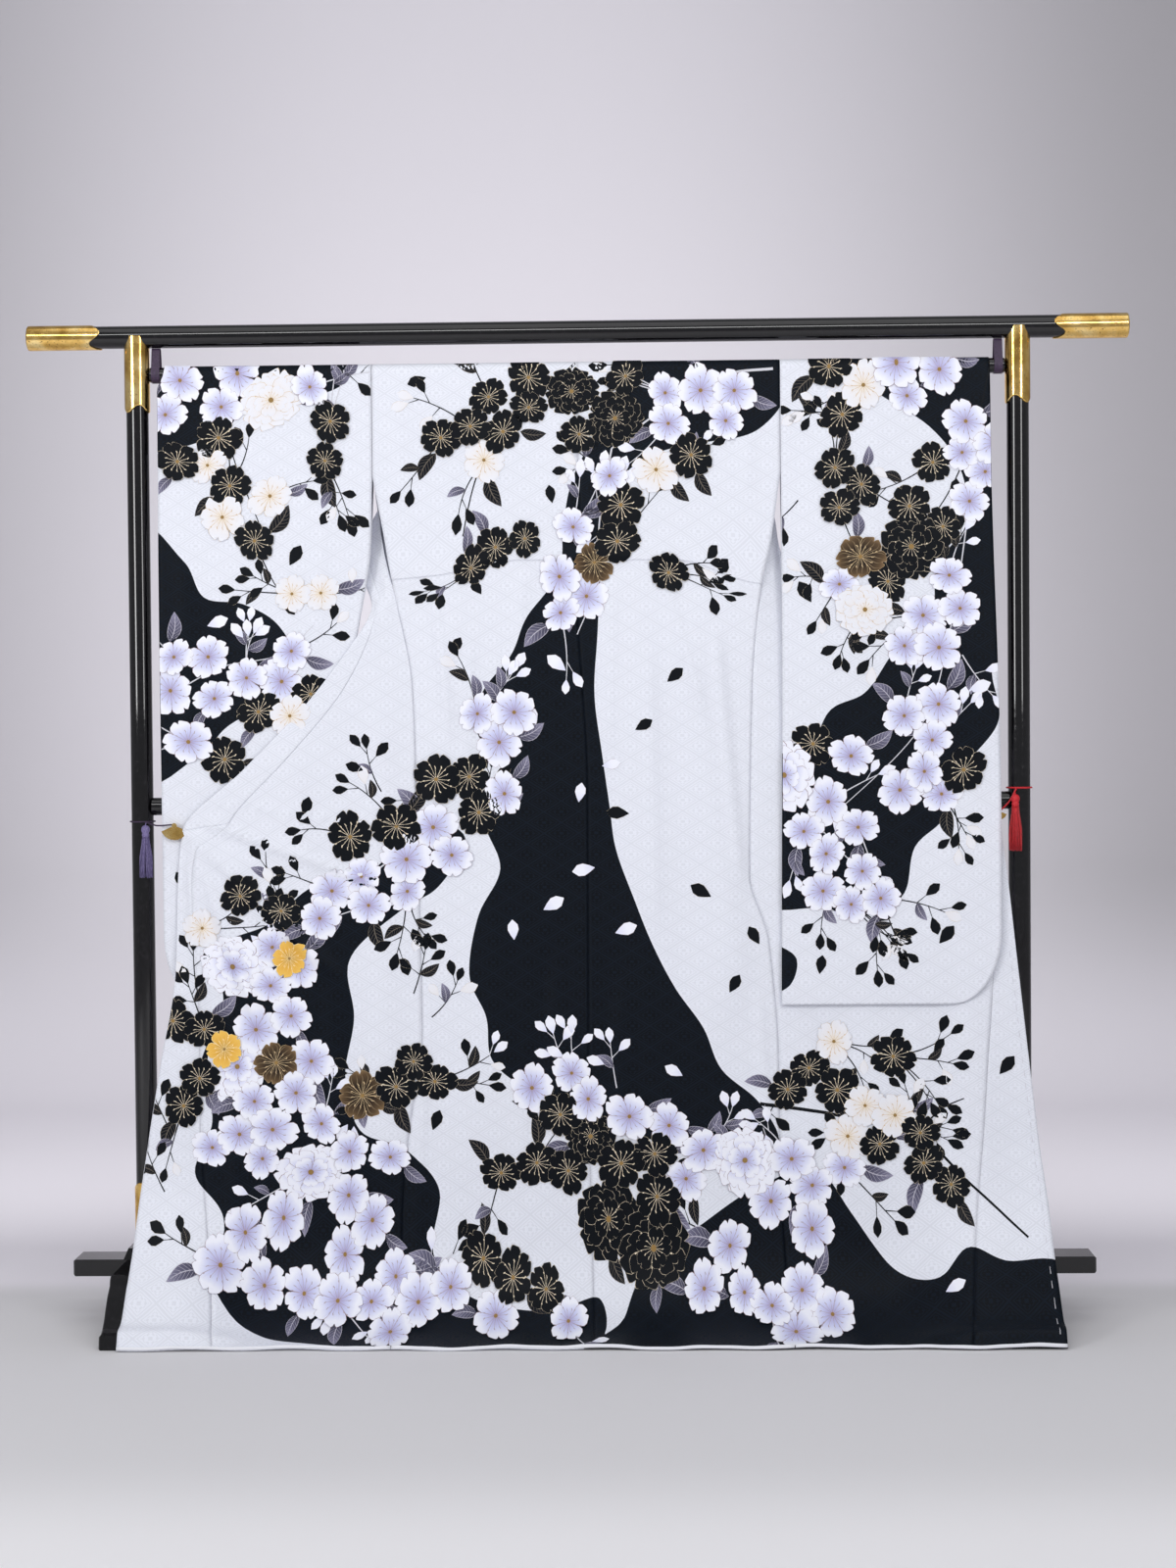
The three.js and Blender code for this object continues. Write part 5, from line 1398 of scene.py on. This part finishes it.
def left_sleeve_design() -> Print:
    """The left sleeve: a spray at the shoulder and one in the dyed pool that its front crosses."""
    left = Print(SLEEVE_LEFT_LAYER, SLEEVE_LEFT_POOLS, 23)
    left.cluster([(-660, 1580), (-560, 1550), (-450, 1570)], 16, 44, 4, 0.18, black=0.8)
    left.cluster([(-660, 1470), (-580, 1400), (-530, 1330)], 10, 34, 4, 0.0, radius=(35, 42), black=0.75,
                 ghost=0.2)
    left.cluster([(-420, 1520), (-400, 1430)], 4, 18, 4, 0.0, radius=(34, 41), black=1.0)
    left.cluster([(-470, 1240), (-410, 1210)], 3, 16, 3, 0.0, radius=(34, 40), black=0.8, ghost=0.2)
    left.cluster([(-660, 1130), (-600, 1080), (-520, 1060), (-470, 1130)], 18, 46, 6, 0.08)
    left.cluster([(-640, 980), (-580, 930)], 6, 28, 3, 0.0)
    left.cluster([(-660, 660), (-620, 600)], 5, 22, 2, 0.0)
    left.petals(((-560, 1160, 130), (-480, 1280, 60), (-620, 1180, 20), (-450, 1000, 80)))
    left.stems(
        (2.4, [(-690, 1600), (-600, 1520), (-560, 1420), (-510, 1300)]),
        (2.2, [(-690, 1060), (-600, 1110), (-500, 1130), (-440, 1180)]),
    )
    return left


def right_sleeve_design() -> Print:
    """The right sleeve: a spray along its outer edge and one across its dyed pool."""
    right = Print(SLEEVE_RIGHT_LAYER, SLEEVE_RIGHT_POOLS, 37)
    right.cluster([(420, 1590), (520, 1560), (620, 1590)], 12, 34, 3, 0.05, black=0.7, ghost=0.25)
    right.cluster([(640, 1540), (680, 1470), (640, 1400)], 12, 34, 3, 0.0)
    right.cluster([(450, 1450), (480, 1400), (440, 1370)], 5, 22, 4, 0.0, radius=(34, 42), black=1.0)
    right.cluster([(560, 1330), (500, 1270), (440, 1230)], 15, 42, 4, 0.3, black=0.8, ghost=0.15)
    right.cluster([(620, 1260), (630, 1180), (580, 1120)], 14, 36, 3, 0.0)
    right.cluster([(560, 1040), (600, 960), (560, 890)], 13, 36, 3, 0.0)
    right.cluster([(400, 960), (380, 880), (430, 820)], 15, 42, 3, 0.2)
    right.cluster([(400, 730), (440, 700)], 4, 18, 3, 0.0, radius=(34, 40))
    right.cluster([(480, 760), (520, 700)], 5, 18, 3, 0.0, radius=(33, 40), black=0.0, ghost=0.9)
    for x, h, angle in ((420, 740, 250), (500, 680, 260), (620, 880, 290), (370, 1380, 230),
                        (640, 1120, 300)):
        right.sprig(x, h, math.radians(angle), 84, 4)
    right.petals(((380, 1520, 50), (390, 1210, 120), (640, 900, 60), (600, 640, 50), (400, 590, 80),
                  (650, 1060, 20)))
    right.stems(
        (2.6, [(690, 1600), (660, 1480), (600, 1360), (500, 1270)]),
        (2.2, [(650, 1340), (620, 1160), (570, 1000), (430, 860)]),
    )
    return right


# --------------------------------------------------------------------------- stand
@dataclass(frozen=True)
class Lacquer:
    """Polished black lacquer over wood, with the faint waviness and dust of a used stand."""

    name: str = "black_lacquer"

    def material(self) -> bpy.types.Material:
        """Near black, glossy, lightly uneven in gloss."""
        tree = Tree(self.name)
        dust = tree.step(tree.noise(140.0, 4.0), 0.45, 0.8)
        tree.set(Base_Color=tree.mix(dust, (0.0025, 0.0023, 0.003), (0.008, 0.007, 0.009)),
                 Roughness=tree.math("MULTIPLY_ADD", dust, 0.08, 0.05), Specular_IOR_Level=0.60)
        tree.bump(tree.noise(26.0, 2.0), 0.05, 0.0004)
        return tree.material


@dataclass(frozen=True)
class GoldFoil:
    """Burnished gold fittings, mottled, with dark specks where the foil has worn."""

    name: str = "gold_foil"
    speckle: float = 1.0

    def material(self) -> bpy.types.Material:
        """Metal with a cloudy tone, fine relief and sparse dark wear."""
        tree = Tree(self.name)
        cloud = tree.noise(34.0, 5.0)
        wear = tree.math("MULTIPLY", tree.step(tree.noise(420.0, 5.0), 0.60, 0.70), self.speckle)
        tone = tree.ramp(cloud, (
            (0.3, (0.60, 0.34, 0.075)), (0.5, (0.88, 0.57, 0.17)), (0.7, (1.0, 0.76, 0.34)),
        ))
        tree.set(Base_Color=tree.mix(wear, tone, (0.10, 0.05, 0.015)),
                 Metallic=tree.math("MULTIPLY_ADD", wear, -0.6, 1.0),
                 Roughness=tree.math("MULTIPLY_ADD", cloud, 0.16, 0.08))
        tree.bump(tree.math("SUBTRACT", tree.noise(90.0, 4.0), tree.math("MULTIPLY", wear, 0.6)), 0.12, 0.0006)
        return tree.material


@dataclass(frozen=True)
class Floss:
    """Silk cord or tassel floss: fine strands along the length and a soft sheen."""

    name: str
    colour: Triple
    light: Triple

    def material(self) -> bpy.types.Material:
        """Two tones by a stretched noise, with a bump of twisted strands."""
        tree = Tree(self.name)
        place = tree.node("ShaderNodeTexCoord").outputs["Object"]
        stretched = tree.node("ShaderNodeMapping", {"Vector": place, "Scale": (1.0, 1.0, 0.12)}).outputs[0]
        strands = tree.noise(1600.0, 2.0, stretched)
        tree.set(Base_Color=tree.mix(tree.step(strands, 0.35, 0.7), self.colour, self.light), Roughness=0.55,
                 Sheen_Weight=0.1, Sheen_Roughness=0.3)
        tree.bump(strands, 0.4, 0.0004)
        return tree.material


def turned(name: str, profile: Sequence[Pair], axis: str, origin: Triple,
           wave: Callable[[Array, Array], Array] | None = None) -> Piece:
    """A turned piece: a closed profile of (radius, along) carried round an axis, with crisp ends.

    Args:
        name: the piece. profile: points from the axis or a bore round to the start. axis: "x" or "z".
        origin: the axis's place. wave: moves `along` by (along, angle), if given.
    """
    r, along = np.array(profile, float).T
    angle = np.linspace(0, 2 * math.pi, TURNED_SIDES, endpoint=False)
    a = r[:, None] * np.cos(angle)
    b = r[:, None] * np.sin(angle)
    run = along[:, None] + 0 * a
    if wave is not None:
        run = wave(run, angle[None, :] + 0 * a)
    stack = (run, a, b) if axis == "x" else (a, b, run)
    points = np.stack(stack, -1).reshape(-1, 3) + np.array(origin)
    obj = make_mesh(name, points, grid_quads(len(r), TURNED_SIDES, wrap=True))
    closed_ends(obj)
    obj.data.set_sharp_from_angle(angle=SHARP)
    return obj


def rod_profile(radius: float, start: float, end: float, softened: float = 1.5) -> list[Pair]:
    """A plain bar with softened ends: along the axis, out, and back."""
    third = 0.3 * softened
    return [(ON_AXIS, start), (radius - softened, start), (radius - third, start + third),
            (radius, start + softened), (radius, end - softened), (radius - third, end - third),
            (radius - softened, end), (ON_AXIS, end)]


@dataclass(frozen=True)
class Stand:
    """The kimono stand: rails, posts, rod, gold fittings and bands. Lengths in mm."""

    rail_z: float = 1667.0
    rail_r: float = 18.8
    rail_half: float = 918.0
    post_x: float = 738.0
    post_r: float = 18.5
    post_foot: float = 114.9
    rod_half: float = 716.0
    mid_z: float = 877.0
    mid_r: float = 15.0
    mid_half: float = 720.5
    joint_low: float = 1545.0
    foot_gold: Pair = (147.0, 236.0)
    cap_long: float = 112.0

    def build(self, nodes: dict[str, Piece]) -> None:
        """Smooth bars stand for the turned solids; flat-faced solids keep their mesh and get lacquer."""
        black, foil = Lacquer().material(), GoldFoil().material()
        for node, radius, half, softened, z in (
            ("top_rail", self.rail_r, self.rail_half, 1.5, self.rail_z),
            ("rod", ROD_R, self.rod_half, 1.5, ROD_Z),
            ("mid_rail", self.mid_r, self.mid_half, 0.5, self.mid_z),
        ):
            bar = turned(f"bar_{node}", rod_profile(radius, -half, half, softened), "x", (0, 0, z))
            dress(bar, "lacquer", black)
            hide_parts(node)
        for side, name in ((-1, "left"), (1, "right")):
            x = side * self.post_x
            profile = rod_profile(self.post_r, self.post_foot, self.rail_z, 0.4)
            post = turned(f"bar_post_{name}", profile, "z", (x, 0, 0), self.coped)
            dress(post, "lacquer", black)
            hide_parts(f"post_{name}")
            for node, obj in self.fittings(side, name, x):
                dress(obj, "gold", foil)
                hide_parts(node)
        for node, obj in nodes.items():
            if node.startswith(("foot_left", "foot_right", "foot_rail", "post_base")):
                refinish(obj, black)
        LOG.info("stand")

    def under_rail(self, y: Array) -> Array:
        """Heights of the top rail's underside over a place y, with a little clearance."""
        return self.rail_z - np.sqrt(np.maximum((self.rail_r + 0.3) ** 2 - y**2, 0))

    def coped(self, along: Array, angle: Array) -> Array:
        """A post's points near its top follow the underside of the rail."""
        under = self.under_rail(self.post_r * np.sin(angle))
        return np.where(along > self.rail_z - 20, under - (self.rail_z - along) * 0.2, along)

    def fittings(self, side: int, name: str, x: float) -> list[tuple[str, Piece]]:
        """Gold sleeves at the post's top and foot and a cap on the rail's end."""
        inner, outer = self.post_r + 0.25, self.post_r + 2.7

        def joint_wave(along: Array, angle: Array) -> Array:
            """The lower rim waves three times round; the top is coped under the rail."""
            low = along + 6 * np.sin(3 * angle + side) * ease((1560 - along) / 10)
            under = self.under_rail(outer * np.sin(angle))
            return np.where(along > 1600, under - (self.rail_z - along) * 0.3, low)

        def foot_wave(along: Array, angle: Array) -> Array:
            """The upper rim waves twice round."""
            return along + 6 * np.sin(2 * angle + side) * ease((along - 220) / 10)

        def cap_wave(along: Array, angle: Array) -> Array:
            """The inner rim waves in an ogee, three times round."""
            return along + side * 9 * np.cos(3 * angle + 1) * ease((830 - np.abs(along)) / 12)

        low, top = self.joint_low, self.rail_z
        ring = [(inner, low), (outer - 0.7, low), (outer, low + 1.5), (outer, top - 1), (outer - 0.6, top),
                (inner, top), (inner, low)]
        low, top = self.foot_gold
        foot = [(inner, low), (outer - 0.7, low), (outer, low + 1.4), (outer, top - 1.5), (outer - 0.7, top),
                (inner, top), (inner, low)]
        start, end = side * (self.rail_half - self.cap_long), side * (self.rail_half + 3.3)
        bore, skin = self.rail_r + 0.25, self.rail_r + 2.1
        cap = [(bore, start), (skin - 0.5, start), (skin, start + side * 1.2), (skin, end - side * 2.2),
               (skin - 0.7, end - side * 0.6), (skin - 2.4, end), (ON_AXIS, end), (ON_AXIS, end - side * 2.8),
               (bore, end - side * 2.8), (bore, start)]
        return [
            (f"rail_joint_{name}", turned(f"gold_joint_{name}", ring, "z", (x, 0, 0), joint_wave)),
            (f"foot_joint_{name}", turned(f"gold_foot_{name}", foot, "z", (x, 0, 0), foot_wave)),
            (f"rail_cap_{name}", turned(f"gold_cap_{name}", cap, "x", (0, 0, self.rail_z), cap_wave)),
        ]


# --------------------------------------------------------------------------- gear
TASSELS = {"left": (-727, -32, 847, 88), "right": (727, -32, 888, 94)}  # x, y, top, length


@dataclass(frozen=True)
class Gear:
    """Clips, ties, tassels and rod bands."""

    strands: int = 220

    def build(self, nodes: dict[str, Piece]) -> None:
        """Tassels are remade in floss; clips, ties and bands keep their solids with their own finish."""
        gold = GoldFoil("gold_clip", 0.2).material()
        violet = Floss("floss_violet", (0.10, 0.075, 0.21), (0.26, 0.22, 0.42)).material()
        red = Floss("floss_red", (0.42, 0.004, 0.012), (0.72, 0.02, 0.03)).material()
        dark = Floss("cord_dark", (0.02, 0.010, 0.03), (0.06, 0.03, 0.08)).material()
        for side, name, floss in ((-1, "left", violet), (1, "right", red)):
            tassel = self.tassel(f"floss_tassel_{name}", *TASSELS[name])
            dress(tassel, "purple_cord" if side < 0 else "red_cord", floss)
            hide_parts(f"tassel_{name}")
            for node, material in ((f"clip_{name}", gold), (f"rod_band_{name}", dark),
                                   (f"tie_{name}", dark if side < 0 else red)):
                refinish(nodes[node], material)
        LOG.info("gear")

    def tassel(self, name: str, x: float, y: float, top: float, length: float) -> Piece:
        """A head with its loop over a skirt of strands, hung with the head's crown at `top`."""
        rng = np.random.default_rng(5 + int(x > 0))
        points, quads = zip(self.head(), self.skirt(length, rng), self.loop())
        centre = np.array([x, y, top - 7.5])
        obj = make_joined(name, [part + centre for part in points], quads)
        closed_ends(obj)
        return obj

    @staticmethod
    def head() -> tuple[Array, Array]:
        """Points and quads of the round head and the bound neck below it."""
        r, along = np.array([
            (ON_AXIS, 7.5), (3.9, 6.5), (6.5, 3.7), (7.4, 0), (6.7, -3.7), (5.3, -6.2), (6.1, -7.4),
            (6.4, -9.6), (5.5, -11.0), (6.2, -13.0), (ON_AXIS, -13.4),
        ]).T
        turn = np.linspace(0, 2 * math.pi, 22, endpoint=False)
        rings = np.stack([r[:, None] * np.cos(turn), r[:, None] * np.sin(turn), along[:, None] + 0 * turn], -1)
        return rings.reshape(-1, 3), grid_quads(len(r), len(turn), wrap=True)

    def skirt(self, length: float, rng: np.random.Generator) -> tuple[Array, Array]:
        """Points and quads of the strands: three-sided, leaving the neck outwards, wavering as they fall."""
        count, steps = self.strands, 7
        angle = rng.uniform(0, 2 * math.pi, count)
        start = 5.6 * np.sqrt(rng.uniform(0.05, 1, count))
        t = np.linspace(0, 1, steps)[None, :]
        reach = start[:, None] * (1 + 0.75 * ease(t * 1.6) + 0.3 * t)
        sway = 0.8 * np.sin(t * 5 + angle[:, None] * 3) * t
        x = reach * np.cos(angle)[:, None] + sway
        y = reach * np.sin(angle)[:, None] + 0.4 * sway
        z = -12 - t * (length - 20 + rng.uniform(-4, 1.5, count)[:, None])
        corner = np.linspace(0, 2 * math.pi, 3, endpoint=False)
        thick = 0.62 * (1 - 0.25 * t)[..., None]
        rings = np.stack([x[..., None] + thick * np.cos(corner), y[..., None] + thick * np.sin(corner),
                          z[..., None] + 0 * corner], -1)
        cells = grid_quads(steps, 3, wrap=True)[None] + np.arange(count)[:, None, None] * steps * 3
        return rings.reshape(-1, 3), cells.reshape(-1, 4)

    @staticmethod
    def loop() -> tuple[Array, Array]:
        """Points and quads of the short cord from the head back to the tie."""
        t = np.linspace(0, 1, 8)
        centre = np.stack([0 * t, 5 * t**2, 6.5 + 4.5 * t], -1)
        turn = np.linspace(0, 2 * math.pi, 8, endpoint=False)
        rings = centre[:, None] + np.stack([0.9 * np.cos(turn), 0.9 * np.sin(turn), 0 * turn], -1)[None]
        return rings.reshape(-1, 3), grid_quads(len(t), len(turn), wrap=True)


# --------------------------------------------------------------------------- studio
@dataclass(frozen=True)
class Softbox:
    """A rectangular area light, in metres and watts, aimed at a point and hidden from the camera."""

    name: str
    place: Triple
    aim: Triple
    size: Pair
    power: float

    def add(self) -> None:
        """Puts the light in the scene."""
        data = bpy.data.lights.new(self.name, "AREA")
        data.shape = "RECTANGLE"
        data.size, data.size_y = self.size
        data.energy = self.power
        obj = bpy.data.objects.new(self.name, data)
        obj.location = self.place
        obj.rotation_euler = (Vector(self.aim) - Vector(self.place)).to_track_quat("-Z", "Y").to_euler()
        obj.visible_camera = False
        bpy.context.scene.collection.objects.link(obj)


LIGHTS = (
    Softbox("key", (-3.3, -3.7, 1.9), (0, 0, 0.9), (1.1, 1.7), 64),
    Softbox("fill", (2.9, -4.2, 1.9), (0, 0, 0.9), (0.9, 1.7), 38),
    Softbox("top", (0, -1.6, 4.2), (0, -1.6, 0), (3.0, 3.0), 26),
    Softbox("strip_over", (0, -3.6, 3.1), (0, 0, 1.4), (4.4, 0.40), 54),
    Softbox("back", (0, 0.7, 1.1), (0, 3.2, 0.9), (4.0, 0.8), 20),
)


@dataclass(frozen=True)
class Studio:
    """A pale seamless floor and backdrop, large soft lights, and the camera."""

    eye: Triple = (117.6, -4172.8, 1013.3)
    yaw: float = 1.401
    pitch: float = 1.424
    roll: float = 0.482
    lens: float = 57.05

    def build(self) -> None:
        """Floor, lights, world and camera."""
        self.cove()
        for light in LIGHTS:
            light.add()
        world = bpy.data.worlds.new("studio")
        world.use_nodes = True
        sky = world.node_tree.nodes["Background"].inputs
        sky["Color"].default_value = (0.86, 0.87, 0.92, 1)
        sky["Strength"].default_value = 0.36
        bpy.context.scene.world = world
        bpy.context.scene.view_settings.view_transform = "Standard"
        self.camera()

    def cove(self) -> None:
        """Floor that curves up into the backdrop: a profile carried along x."""
        reach, back, radius, height = 7000, 3200, 900, 6500
        bend = np.linspace(0, math.pi / 2, 16)
        y = np.concatenate([[-reach], back - radius + radius * np.sin(bend), [back]])
        z = np.concatenate([[0], radius * (1 - np.cos(bend)), [height]])
        x = np.linspace(-reach, reach, 2)
        points = np.stack([x[None, :] + 0 * y[:, None], y[:, None] + 0 * x, z[:, None] + 0 * x], -1)
        obj = make_mesh("floor", points.reshape(-1, 3), grid_quads(len(y), 2))
        obj.data.materials.append(self.paper())

    @staticmethod
    def paper() -> bpy.types.Material:
        """Seamless paper with painted light: painted shade darkens it up the wall and to its sides, the floor
        is painted brighter near the camera, and the wall is painted brighter than the floor behind the stand;
        clear from behind to keep the view.
        """
        tree = Tree("seamless_paper_painted_light")
        place = tree.node("ShaderNodeSeparateXYZ", {0: tree.node("ShaderNodeTexCoord").outputs["Object"]})
        x, y, z = place.outputs
        # painted shade: the wall darkens away from a place a little left of the middle
        aside = tree.times(tree.math("ABSOLUTE", tree.math("ADD", x, 0.35)), 0.463)
        painted_wall_shade = tree.times(tree.step(tree.math("POWER", aside, 1.3), 0.0, 1.0), tree.step(z, 0.0, 0.6))
        wall = tree.mix(painted_wall_shade, (0.91, 0.88, 0.935), (0.485, 0.47, 0.495))
        # painted light: the floor is brighter near the camera and darker towards the stand, and the wall is
        # lighter than the floor
        ground = tree.mix(tree.step(y, -1.15, -0.75), (0.86, 0.85, 0.87), (0.72, 0.712, 0.73))
        tree.set(Base_Color=tree.mix(tree.step(y, 0.20, 0.34), ground, wall), Roughness=0.8)
        behind = tree.node("ShaderNodeNewGeometry").outputs["Backfacing"]
        clear = tree.node("ShaderNodeBsdfTransparent").outputs[0]
        face = tree.node("ShaderNodeMixShader", {0: behind, 1: tree.shader.outputs[0], 2: clear})
        tree.links.new(face.outputs[0], tree.nodes["Material Output"].inputs["Surface"])
        return tree.material

    def camera(self) -> None:
        """A level lens at chest height, turned by yaw, pitch and roll."""
        yaw, pitch, roll = (math.radians(a) for a in (self.yaw, self.pitch, self.roll))
        ahead = Vector((-math.sin(yaw) * math.cos(pitch), math.cos(yaw) * math.cos(pitch), -math.sin(pitch)))
        right = Vector((math.cos(yaw), math.sin(yaw), 0))
        up = right.cross(ahead)
        cos, sin = math.cos(roll), math.sin(roll)
        right, up = cos * right - sin * up, sin * right + cos * up
        data = bpy.data.cameras.new("camera")
        data.lens = self.lens
        data.sensor_width = 36
        data.clip_end = 100
        obj = bpy.data.objects.new("camera", data)
        turn = Matrix((right, up, -ahead)).transposed().to_4x4()
        obj.matrix_world = Matrix.Translation(Vector(self.eye) * MM) @ turn
        bpy.context.scene.collection.objects.link(obj)
        bpy.context.scene.camera = obj


def main() -> None:
    """Builds the studio, the stand, the gear and the kimono."""
    logging.basicConfig(level=logging.INFO, format="%(name)s: %(message)s")
    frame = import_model()
    Studio().build()
    Stand().build(frame["nodes"])
    Gear().build(frame["nodes"])
    Kimono().build()


if __name__ == "__main__":
    main()
